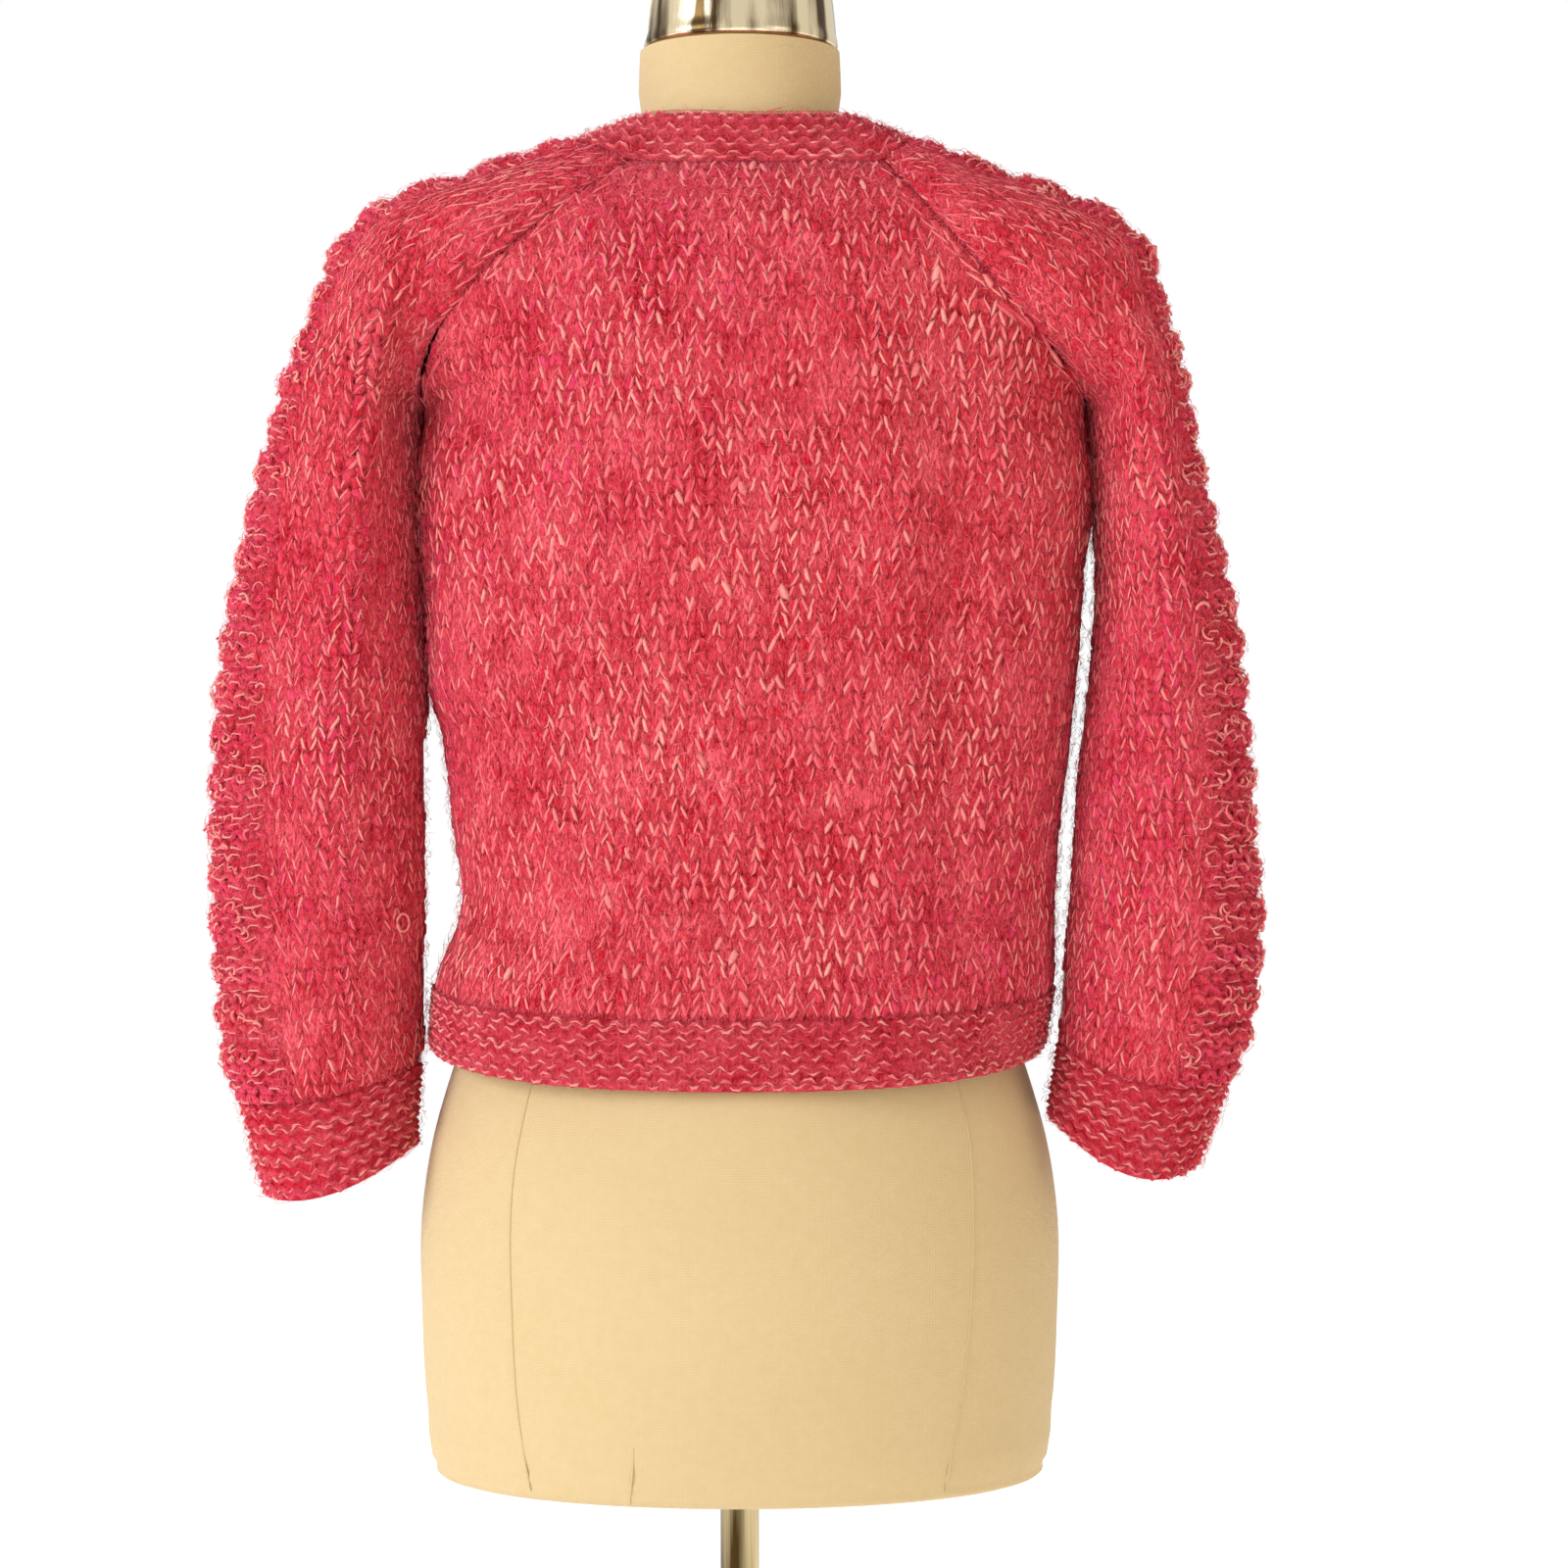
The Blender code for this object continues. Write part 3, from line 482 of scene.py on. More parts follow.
# Body below the underarm: half widths of the two sides, depths, and heights round the ring
BODY = Table(
    "depth  side_z  back_z  front_z  left    right   back    front",
    (1.00, 1.2980, 1.3000, 1.3000, 0.1775, 0.1955, 0.1130, 0.1440),
    (1.16, 1.2400, 1.2410, 1.2400, 0.1760, 0.1940, 0.1130, 0.1500),
    (1.33, 1.1800, 1.1780, 1.1780, 0.1720, 0.1920, 0.1100, 0.1440),
    (1.50, 1.1200, 1.1150, 1.1140, 0.1675, 0.1870, 0.1070, 0.1330),
    (1.65, 1.0700, 1.0620, 1.0610, 0.1620, 0.1810, 0.1070, 0.1260),
    (1.79, 1.0200, 1.0080, 1.0070, 0.1570, 0.1780, 0.1120, 0.1220),
    (1.90, 0.9800, 0.9660, 0.9650, 0.1710, 0.1770, 0.1190, 0.1230),
    (2.00, 0.9450, 0.9260, 0.9250, 0.1740, 0.1710, 0.1230, 0.1240),
)

# Sleeve below the underarm: heights and distances from the middle of its inner and outer side,
# and how far its rows hang between the two
SLEEVE_LEFT = Table(
    "depth  inner_z  outer_z  inner   outer   middle_y  half_depth  droop",
    (1.00, 1.2980, 1.3150, 0.1775, 0.2515, 0.0110, 0.0760, 0.0000),
    (1.12, 1.2480, 1.2620, 0.1785, 0.2650, 0.0115, 0.0690, 0.0000),
    (1.30, 1.1750, 1.1820, 0.1785, 0.2840, 0.0120, 0.0600, 0.0000),
    (1.50, 1.0940, 1.0900, 0.1775, 0.2920, 0.0130, 0.0530, 0.0010),
    (1.70, 1.0100, 0.9960, 0.1775, 0.2905, 0.0140, 0.0480, 0.0030),
    (1.88, 0.9360, 0.9150, 0.1785, 0.2815, 0.0150, 0.0440, 0.0070),
    (2.00, 0.8870, 0.8590, 0.1810, 0.2665, 0.0160, 0.0410, 0.0090),
)
SLEEVE_RIGHT = Table(
    "depth  inner_z  outer_z  inner   outer   middle_y  half_depth  droop",
    (1.00, 1.2980, 1.3150, 0.1955, 0.2450, 0.0110, 0.0760, 0.0000),
    (1.12, 1.2480, 1.2620, 0.2000, 0.2550, 0.0140, 0.0690, 0.0000),
    (1.30, 1.1760, 1.1830, 0.1990, 0.2735, 0.0170, 0.0600, 0.0000),
    (1.50, 1.0960, 1.0940, 0.1905, 0.2820, 0.0210, 0.0530, 0.0010),
    (1.70, 1.0140, 1.0020, 0.1835, 0.2870, 0.0260, 0.0480, 0.0050),
    (1.88, 0.9480, 0.9290, 0.1780, 0.2740, 0.0300, 0.0440, 0.0110),
    (2.00, 0.9040, 0.8780, 0.1725, 0.2550, 0.0330, 0.0410, 0.0150),
)

# Soft folds that run down the back and the fronts: x of the fold and how far it sinks
FOLDS = {
    "back": Table(
        "depth  x        sink",
        (0.00, -0.0970, 0.0000),
        (0.40, -0.1010, 0.0010),
        (0.90, -0.1080, 0.0045),
        (1.50, -0.1150, 0.0045),
        (1.85, -0.1210, 0.0020),
        (2.00, -0.1220, 0.0000),
    ),
    "front": Table(
        "depth  x        sink",
        (0.00, 0.0700, 0.0000),
        (0.70, 0.0850, 0.0015),
        (1.20, 0.0950, 0.0045),
        (1.60, 0.1000, 0.0040),
        (2.00, 0.1020, 0.0010),
    ),
}

# Dress form, from the bottom up: half width, depths of the back and of the front, and how
# full each oval section is (2 is an ellipse, less is pointed at the shoulders)
FORM = Table(
    "z       half    back    front   fullness",
    (0.6985, 0.1500, 0.0960, 0.0900, 2.1),
    (0.7010, 0.1640, 0.1070, 0.1000, 2.1),
    (0.7090, 0.1715, 0.1140, 0.1060, 2.1),
    (0.7350, 0.1760, 0.1200, 0.1110, 2.0),
    (0.7900, 0.1795, 0.1250, 0.1140, 2.0),
    (0.8500, 0.1795, 0.1250, 0.1140, 2.0),
    (0.8900, 0.1735, 0.1210, 0.1120, 2.0),
    (0.9300, 0.1620, 0.1140, 0.1080, 2.0),
    (0.9700, 0.1480, 0.1040, 0.1020, 2.0),
    (1.0100, 0.1360, 0.0940, 0.0960, 2.0),
    (1.0600, 0.1260, 0.0865, 0.0920, 2.0),
    (1.1100, 0.1300, 0.0880, 0.1000, 2.0),
    (1.1600, 0.1400, 0.0930, 0.1140, 2.0),
    (1.2100, 0.1490, 0.0980, 0.1290, 2.0),
    (1.2450, 0.1520, 0.1010, 0.1340, 2.0),
    (1.2900, 0.1550, 0.1020, 0.1270, 2.0),
    (1.3300, 0.1600, 0.1015, 0.1150, 2.0),
    (1.3600, 0.1665, 0.0980, 0.0990, 1.9),
    (1.3830, 0.1700, 0.0930, 0.0870, 1.7),
    (1.3970, 0.1700, 0.0885, 0.0780, 1.6),
    (1.4120, 0.1630, 0.0820, 0.0700, 1.5),
    (1.4247, 0.1430, 0.0740, 0.0640, 1.5),
    (1.4342, 0.1180, 0.0675, 0.0610, 1.5),
    (1.4430, 0.0930, 0.0620, 0.0585, 1.6),
    (1.4500, 0.0715, 0.0562, 0.0560, 1.8),
    (1.4600, 0.0595, 0.0545, 0.0545, 2.0),
    (1.4850, 0.0575, 0.0540, 0.0540, 2.0),
    (1.5040, 0.0565, 0.0540, 0.0540, 2.0),
)
print("tables", len(BODY.keys), "rows for the body,", len(FORM.keys), "for the form")

# %% [markdown]
# ## Rows of the panels
# Each row of the back or of a front is half a squarish oval. Each row of a sleeve is an arc
# over the arm that closes to an oval below the underarm. Rows above depth 0 run straight up to
# the neckline. The rows are finely sampled curves, so cloth can be measured along them.

# %% Rows of the back, the fronts and the sleeves
FINE = 65
SQUARENESS = 0.84
FOLD_HALF_WIDTH = 0.020
FRONT_GAP_HALF = 0.0012


def side_name(side):
    """Column that holds a side: 1 is the wearer's left, -1 the right."""
    return "left" if side > 0 else "right"


def signed_power(values, power):
    """Power of the size of each value, with the value's own sign."""
    return np.sign(values) * np.abs(values) ** power


def neckline(x, y):
    """Point of the neckline in the direction of x, y.

    Its plan is an oval with its own half widths to each side, and its height goes from the
    side's to the back's or the front's with the cube of the sine of the direction.
    """
    turn = np.arctan2(y, x)
    half = np.where(x > 0, NECKLINE["left"], NECKLINE["right"])
    deep = np.where(y > 0, NECKLINE["back"], NECKLINE["front"])
    radius = 1 / np.hypot(np.cos(turn) / half, np.sin(turn) / deep)
    end_z = np.where(y > 0, NECKLINE["back_z"], NECKLINE["front_z"])
    z = NECKLINE["side_z"] + (end_z - NECKLINE["side_z"]) * np.abs(np.sin(turn)) ** 3
    return points(radius * np.cos(turn), radius * np.sin(turn), z)


def with_neckband(rows, depth):
    """Rows with a depth below 0 go straight from the yoke's first row up to the neckline."""
    rise = np.clip(-depth, 0, 1)[:, None, None]
    return rows * (1 - rise) + neckline(rows[..., 0], rows[..., 1]) * rise


def panel_rows(face, side, depth):
    """Rows of half the back, or of a front, from the side edge to the middle.

    x falls as the cosine of a turn and y grows as its sine, both to a power under 1. The turn
    starts where the sine gives the edge's own y. A bell-shaped fold sinks into each row.
    """
    outward = 1 if face == "back" else -1
    name = side_name(side)
    down = np.maximum(depth, 0)[:, None]
    yoke = down <= 1
    edge_x = side * np.where(yoke, RAGLAN.at(name, down), BODY.at(name, down))
    edge_y = RAGLAN.at(face + "_y", down)
    edge_z = np.where(yoke, RAGLAN.at(face + "_z", down), BODY.at("side_z", down))
    middle_y = np.where(yoke, MIDDLE_YOKE.at(face + "_y", down), outward * BODY.at(face, down))
    middle_z = np.where(yoke, MIDDLE_YOKE.at(face + "_z", down), BODY.at(face + "_z", down))
    middle_x = 0.0 if face == "back" else side * FRONT_GAP_HALF
    ratio = np.clip(edge_y / middle_y, -0.999, 0.999)
    first = np.arcsin(signed_power(ratio, 1 / SQUARENESS))
    turn = first + (math.pi / 2 - first) * np.linspace(0, 1, FINE)[None, :]
    across = (np.clip(np.cos(turn), 0, 1) / np.cos(first)) ** SQUARENESS
    deep = signed_power(np.sin(turn), SQUARENESS)
    rows = points(middle_x + (edge_x - middle_x) * across, middle_y * deep,
                  edge_z + (middle_z - edge_z) * (deep - ratio) / (1 - ratio))
    fold = FOLDS[face]
    fold_x = fold.at("x", depth)[:, None] * (1 if face == "back" else side)
    bell = np.exp(-((rows[..., 0] - fold_x) / FOLD_HALF_WIDTH) ** 2)
    rows[..., 1] -= outward * fold.at("sink", depth)[:, None] * bell
    return with_neckband(rows, depth)


def back_rows(depth):
    """Rows of the whole back, from the wearer's left to the right."""
    left = panel_rows("back", 1, depth)
    right = panel_rows("back", -1, depth)
    return np.concatenate([left, right[:, -2::-1]], axis=1)


def front_rows(side, depth):
    """Rows of one front, from its opening to its side edge."""
    return panel_rows("front", side, depth)[:, ::-1]


def sleeve_rows(side, depth):
    """Rows of a sleeve, from the back seam over its outer side to the front seam.

    Each is an arc: the reach to the outer side goes as the cosine of a turn, and y as its sine
    times half the sleeve's depth. Below the underarm the arc is a whole oval.
    """
    name = side_name(side)
    table = SLEEVE_LEFT if side > 0 else SLEEVE_RIGHT
    down = np.maximum(depth, 0)[:, None]
    yoke = down <= 1
    back_y, front_y = RAGLAN.at("back_y", down), RAGLAN.at("front_y", down)
    back_z, front_z = RAGLAN.at("back_z", down), RAGLAN.at("front_z", down)
    half_chord = np.where(yoke, (back_y - front_y) / 2, 0)
    middle_y = np.where(yoke, (back_y + front_y) / 2, table.at("middle_y", down))
    inner_x = np.where(yoke, RAGLAN.at(name, down), table.at("inner", down))
    half_depth = np.where(yoke, SHOULDER.at("half_depth", down), table.at("half_depth", down))
    outer_x = np.where(yoke, SHOULDER.at(name, down), table.at("outer", down))
    outer_y = np.where(yoke, SHOULDER.at("y", down), table.at("middle_y", down))
    outer_z = np.where(yoke, SHOULDER.at("z", down), table.at("outer_z", down))
    last = math.pi - np.arcsin(np.clip(half_chord / half_depth, 0, 1))
    way = np.linspace(1, -1, 2 * FINE - 1)[None, :]
    turn = last * way
    reach = (np.cos(turn) - np.cos(last)) / (1 - np.cos(last))
    seam_z = np.where(yoke, (back_z + front_z) / 2 + way * (back_z - front_z) / 2,
                      table.at("inner_z", down))
    droop = table.at("droop", down) * 4 * reach * (1 - reach)
    rows = points(side * (inner_x + (outer_x - inner_x) * reach),
                  middle_y + (outer_y - middle_y) * reach + half_depth * np.sin(turn),
                  seam_z + (outer_z - seam_z) * reach - droop)
    return with_neckband(rows, depth)


def body_ring(depth):
    """Rows round the body, from the left front's opening round the back to the right one's."""
    return np.concatenate([front_rows(1, depth), back_rows(depth)[:, 1:],
                           front_rows(-1, depth)[:, -2::-1]], axis=1)


def neck_ring(depth):
    """Rows round the neck, over both fronts, both sleeves and the back."""
    return np.concatenate([front_rows(1, depth), sleeve_rows(1, depth)[:, -2::-1],
                           back_rows(depth)[:, 1:], sleeve_rows(-1, depth)[:, 1:],
                           front_rows(-1, depth)[:, -2::-1]], axis=1)


ring = body_ring(np.array([1.5]))[0]
print("round the body at depth 1.5:",
      round(float(np.linalg.norm(np.diff(ring, axis=0), axis=1).sum()), 3), "m")

# %% [markdown]
# ## Cloth that can be measured
# Yarn has to lie at even distances on the cloth, whatever the shape. So each piece of cloth is
# laid out flat: v is the distance down its own middle line, and u the distance across from it.
# Looking up a place on the cloth gives its point in space and the direction that faces out.
# The cloth also gets the unevenness of hand knitting: low waves, and the welts of the sleeves.

# %% Cloth
STEP = 0.003
SPARE = 0.015
HEM_HEIGHT = 0.033
CUFF_HEIGHT = 0.047
FRONT_BAND_WIDTH = 0.032
PANEL_HALF_WIDTH = 0.062
PANEL_FADE = 0.020
PANEL_RELIEF = 0.0056
YOKE_CELLS = 14
YOKE_CROWDING = 1.2
TUBE_CELLS = 32
WELT_LOW = 0.12
WELT_POWER = 0.7
WELT_FADES = (0.05, 0.02)
WAVE_SIZE = 0.0005
LINE_SAMPLES = 240
SWELL_FADE = 0.025
SWELL_FACING = 0.2
SWELL_TURN = 0.5
CORE_SHARE = 0.3
LAST_CELL = 1.001
hem_start = 2 - HEM_HEIGHT / (BODY.at("side_z", 1.0) - BODY.at("side_z", 2.0))
cuff_start = 2 - CUFF_HEIGHT / (SLEEVE_LEFT.at("inner_z", 1) - SLEEVE_LEFT.at("inner_z", 2))


def waves(place, size):
    """Low unevenness: three crossed sine waves of different lengths, added together."""
    x, y, z = place[..., 0], place[..., 1], place[..., 2]
    return size * (np.sin(61 * x + 23 * z + 1.0) * np.sin(47 * z - 17 * y)
                   + 0.6 * np.sin(113 * x - 71 * z + 2.0) * np.sin(89 * y + 31 * z)
                   + 0.4 * np.sin(210 * z + 90 * x))


def welts(depth):
    """Bulge of the sleeves' knobbly panel by depth: the size of a cosine, two rows a welt."""
    down = np.clip(depth, 0, 2)
    yoke = YOKE_CELLS * (1 - (1 - np.minimum(down, 1)) ** (1 / YOKE_CROWDING)) - YOKE_CELLS
    tube = (down - 1) / (cuff_start - 1) * TUBE_CELLS
    turn = np.where(down <= 1, yoke, tube) * math.pi / 2
    ends = np.clip(down / WELT_FADES[0], 0, 1) * np.clip((cuff_start - down) / WELT_FADES[1], 0, 1)
    return (WELT_LOW + (1 - WELT_LOW) * np.abs(np.cos(turn)) ** WELT_POWER) * ends


# Soft creases by piece: the side that they are on, their half width, and a table of x and of
# their height by z. A height below 0 is a trough, above 0 a ridge
CREASES = {
    "sleeve_left": (
        (1, 0.012, Table("z x height", (1.10, 0.1800, 0), (1.2187, 0.1760, -0.0040),
                         (1.295, 0.1840, -0.0080), (1.3315, 0.1810, -0.0072),
                         (1.3826, 0.1665, -0.0040), (1.4105, 0.1300, 0))),
        (1, 0.011, Table("z x height", (0.96, 0.2190, 0), (1.09, 0.2220, 0.0026),
                         (1.1975, 0.2160, 0.0062), (1.2926, 0.2040, 0.0076),
                         (1.3567, 0.1880, 0.0048), (1.390, 0.1700, 0))),
        (-1, 0.013, Table("z x height", (1.14, 0.1860, 0), (1.23, 0.1830, -0.0030),
                          (1.30, 0.1850, -0.0045), (1.35, 0.1780, -0.0030),
                          (1.40, 0.1450, 0))),
        (-1, 0.012, Table("z x height", (0.98, 0.2260, 0), (1.12, 0.2210, 0.0025),
                          (1.24, 0.2120, 0.0032), (1.34, 0.1960, 0))),
    ),
    "sleeve_right": (
        (1, 0.011, Table("z x height", (1.12, -0.1990, 0), (1.2186, -0.1965, -0.0030),
                         (1.287, -0.2040, -0.0050), (1.351, -0.1995, -0.0045),
                         (1.383, -0.1796, -0.0020), (1.405, -0.1550, 0))),
        (1, 0.012, Table("z x height", (0.98, -0.2330, 0), (1.12, -0.2360, 0.0022),
                         (1.24, -0.2300, 0.0030), (1.33, -0.2240, 0))),
        (-1, 0.012, Table("z x height", (1.12, -0.2030, 0), (1.22, -0.1990, -0.0035),
                          (1.30, -0.2010, -0.0045), (1.37, -0.1850, 0))),
        (-1, 0.012, Table("z x height", (1.00, -0.2320, 0), (1.15, -0.2340, 0.0028),
                          (1.28, -0.2250, 0))),
    ),
    "back": (
        (1, 0.016, Table("z x height", (0.98, 0.1270, 0), (1.06, 0.1180, -0.0018),
                         (1.17, 0.1240, -0.0028), (1.26, 0.1420, 0))),
        (1, 0.015, Table("z x height", (0.97, -0.0900, 0), (1.08, -0.0880, 0.0016),
                         (1.24, -0.0850, 0.0020), (1.38, -0.0770, 0))),
    ),
    "front_left": (
        (-1, 0.015, Table("z x height", (0.99, 0.1350, 0), (1.09, 0.1300, -0.0025),
                          (1.19, 0.1380, -0.0030), (1.27, 0.1500, 0))),
    ),
    "front_right": (
        (-1, 0.016, Table("z x height", (0.98, -0.1320, 0), (1.10, -0.1390, -0.0030),
                          (1.20, -0.1500, -0.0022), (1.28, -0.1600, 0))),
    ),
}

# How far the cloth lies under the skin of its solid, so that the crests of its stitches are
# near it. At the armholes, the sides of the body and the sleeves swell and touch each other
YARN_DEPTH = 0.0020
BAND_DEPTH = 0.0012
STITCHED = ("back", "front_left", "front_right", "sleeve_left", "sleeve_right")
SWELLS = {
    # piece: side of the garment, way it faces in x, lowest and highest z, height
    "back": ((1, 1, 1.118, 1.292, 0.0060), (-1, -1, 1.208, 1.292, 0.0050)),
    "front_left": ((1, 1, 1.118, 1.292, 0.0060),),
    "front_right": ((-1, -1, 1.208, 1.292, 0.0050),),
    "sleeve_left": ((1, -1, 1.118, 1.292, 0.0028),),
    "sleeve_right": ((-1, 1, 1.208, 1.292, 0.0028),),
}


def swollen(name, grid, normals):
    """Height of a piece's swells: full where it faces the way given, with soft ends in z."""
    height = np.zeros(grid.shape[:2])
    for side, way, low, high, size in SWELLS.get(name, ()):
        ends = np.clip((grid[..., 2] - low) / SWELL_FADE, 0, 1) \
            * np.clip((high - grid[..., 2]) / SWELL_FADE, 0, 1)
        faces = np.clip((way * normals[..., 0] - SWELL_FACING) / SWELL_TURN, 0, 1)
        height += size * ends * faces * (side * grid[..., 0] > 0)
    return height


def creased(name, grid, normals):
    """Height of a piece's creases: each is a bell curve of the distance in x from its line."""
    height = np.zeros(grid.shape[:2])
    for side, half_width, line in CREASES.get(name, ()):
        z = grid[..., 2]
        inside = (z > line.keys[0]) & (z < line.keys[-1])
        bell = np.exp(-((grid[..., 0] - line.at("x", z)) / half_width) ** 2)
        height += line.at("height", z) * bell * inside * np.clip(2 * side * normals[..., 1], 0, 1)
    return height


class Cloth:
    """One piece of cloth: rows of points at even distances u, one row every STEP of v.

    It goes from one depth to another, u is 0 at the point zero of each row, and inset is what
    its ends give up to a band. A knobbly one is a tube with a panel of welts down its middle.
    """

    def __init__(self, name, rows_at, start, end, zero, inset=(0.0, 0.0), knobbly=False,
                 width=None):
        self.name = name
        self.begins_at_middle = zero == 0
        depth = np.linspace(start, end, LINE_SAMPLES)
        line = rows_at(depth)[:, zero]
        run = np.concatenate([[0], np.cumsum(np.linalg.norm(np.diff(line, axis=0), axis=1))])
        self.length = float(run[-1])
        self.v = np.linspace(0, self.length, max(4, round(self.length / STEP)) + 1)
        self.depth = np.interp(self.v, run, depth)
        self.knobbly = knobbly
        curves = rows_at(self.depth)
        steps = np.linalg.norm(np.diff(curves, axis=1), axis=2)
        reach = np.concatenate([np.zeros((len(curves), 1)), np.cumsum(steps, axis=1)], axis=1)
        reach = reach - reach[:, zero:zero + 1]
        self.left = reach[:, 0] + inset[0]
        self.right = reach[:, -1] - inset[1] if width is None else self.left + width
        self.u = np.arange(reach.min() - SPARE, reach.max() + SPARE, STEP)
        self.grid = self.spread(curves, reach, np.broadcast_to(self.u, (len(curves), len(self.u))))
        self.finish()

    def spread(self, curves, reach, wanted):
        """Points of each row at the wanted distances, going straight on past its ends."""
        before = curves[:, :1] + unit(curves[:, :1] - curves[:, 1:2]) * SPARE
        after = curves[:, -1:] + unit(curves[:, -1:] - curves[:, -2:-1]) * SPARE
        curves = np.concatenate([before, curves, after], axis=1)
        reach = np.concatenate([reach[:, :1] - SPARE, reach, reach[:, -1:] + SPARE], axis=1)
        result = np.empty((*wanted.shape, 3))
        for row in range(len(curves)):
            for axis in range(3):
                result[row, :, axis] = np.interp(wanted[row], reach[row], curves[row, :, axis])
        return result

    def outward(self, grid):
        """Directions that face out: across the two ways of the grid, away from the body."""
        normals = unit(np.cross(np.gradient(grid, axis=0), np.gradient(grid, axis=1)))
        middle = grid.reshape(-1, 3).mean(axis=0)
        flip = np.sum(normals * (grid - self.core(grid, middle)), axis=-1).mean()
        return normals * (1 if flip > 0 else -1)

    def core(self, grid, middle):
        """The line that the cloth goes round: its own rows' middles, or one near the z axis."""
        if self.knobbly:
            return grid.mean(axis=1, keepdims=True)
        return np.array((0.0, 0.0, 1.0)) * grid + np.array((CORE_SHARE, 0.0, 0.0)) * middle

    def relief(self, grid, u, depth):
        """How far the cloth stands out: its unevenness, and the welts of a knobbly panel."""
        height = waves(grid, WAVE_SIZE)
        if self.knobbly:
            fade = np.clip((PANEL_HALF_WIDTH - np.abs(u)) / PANEL_FADE, 0, 1)
            height = height + PANEL_RELIEF * fade * welts(depth)[:, None]
        return height

    def finish(self):
        """Work out the directions, then raise the grid by its relief."""
        normals = self.outward(self.grid)
        raised = self.relief(self.grid, self.u[None, :], self.depth) \
            + creased(self.name, self.grid, normals) + swollen(self.name, self.grid, normals)
        raised = raised - (YARN_DEPTH if self.name in STITCHED else BAND_DEPTH)
        self.grid = self.grid + normals * raised[..., None]
        self.normals = self.outward(self.grid)

    def look_up(self, grid, v, u):
        """Value of a grid at v, u, between its four nearest points."""
        row = np.clip(v / (self.v[1] - self.v[0]), 0, len(self.v) - LAST_CELL)
        column = np.clip((u - self.u[0]) / STEP, 0, len(self.u) - LAST_CELL)
        i, j = row.astype(int), column.astype(int)
        a, b = (row - i)[..., None], (column - j)[..., None]
        return (grid[i, j] * (1 - a) * (1 - b) + grid[i, j + 1] * (1 - a) * b
                + grid[i + 1, j] * a * (1 - b) + grid[i + 1, j + 1] * a * b)

    def at(self, v, u, height=0.0):
        """Point above the cloth, and the direction that faces out there."""
        normal = unit(self.look_up(self.normals, v, u))
        point = self.look_up(self.grid, v, u)
        return point + normal * np.asarray(height)[..., None], normal

    def edges(self, v):
        """The cloth's left and right ends at v."""
        return np.interp(v, self.v, self.left), np.interp(v, self.v, self.right)

    def depth_at(self, v):
        """Depth of the row at v."""
        return np.interp(v, self.v, self.depth)


middle = FINE - 1
both = (FRONT_BAND_WIDTH, FRONT_BAND_WIDTH)
cloths = {cloth.name: cloth for cloth in (
    Cloth("back", back_rows, 0, hem_start, middle),
    Cloth("neckband", neck_ring, -1, 0, 4 * middle),
    Cloth("hem_band", body_ring, hem_start, 2, 2 * middle, both),
)}
for side, name in ((1, "_left"), (-1, "_right")):
    fronts, sleeves = partial(front_rows, side), partial(sleeve_rows, side)
    for cloth in (
        Cloth("front" + name, fronts, 0, hem_start, 0, (FRONT_BAND_WIDTH, 0)),
        Cloth("front_band" + name, fronts, 0, 2, 0, width=FRONT_BAND_WIDTH),
        Cloth("sleeve" + name, sleeves, 0, cuff_start, middle, knobbly=True),
        Cloth("cuff" + name, sleeves, cuff_start, 2, middle, knobbly=True),
    ):
        cloths[cloth.name] = cloth
for name, cloth in cloths.items():
    print(name, "length", round(cloth.length, 3), "widest",
          round(float((cloth.right - cloth.left).max()), 3))

# %% [markdown]
# ## Meshes from whole arrays
# Thousands of stitches are only fast if a mesh is filled at once. A spindle is a closed tube
# with pointed ends, made of rings round a short path. The same rings, in other sizes, make the
# form, the cap, the pole and the foot. Each ring goes round the same way, so faces point out.

# %% Mesh helpers
def build_mesh(name, vertices, faces):
    """A smooth mesh from points (n, 3) and faces (m, 3) or (m, 4)."""
    mesh = bpy.data.meshes.new(name)
    mesh.vertices.add(len(vertices))
    mesh.vertices.foreach_set("co", vertices.astype(np.float32).ravel())
    mesh.loops.add(faces.size)
    mesh.loops.foreach_set("vertex_index", faces.astype(np.int32).ravel())
    mesh.polygons.add(len(faces))
    starts = np.arange(len(faces), dtype=np.int32) * faces.shape[1]
    mesh.polygons.foreach_set("loop_start", starts)
    mesh.update(calc_edges=True)
    mesh.shade_smooth()
    return mesh


def capped_rings(first, rings, last):
    """Closed tubes: a pole, then rings of points, then a pole.

    Tubes, rings and sides are the axes of the array of rings, so all tubes have as many of each.
    """
    count, number, sides = rings.shape[:3]
    vertices = np.concatenate([first[:, None], rings.reshape(count, -1, 3), last[:, None]], axis=1)
    here = 1 + sides * np.arange(number)[:, None] + np.arange(sides)
    after = 1 + sides * np.arange(number)[:, None] + (np.arange(sides) + 1) % sides
    end = np.full(sides, vertices.shape[1] - 1)
    faces = np.concatenate([
        np.stack([np.zeros(sides, int), after[0], here[0]], axis=-1),
        np.stack([here[:-1], after[:-1], after[1:]], axis=-1).reshape(-1, 3),
        np.stack([here[:-1], after[1:], here[1:]], axis=-1).reshape(-1, 3),
        np.stack([end, here[-1], after[-1]], axis=-1)])
    faces = faces[None] + (np.arange(count) * vertices.shape[1])[:, None, None]
    return vertices, faces.reshape(-1, 3)


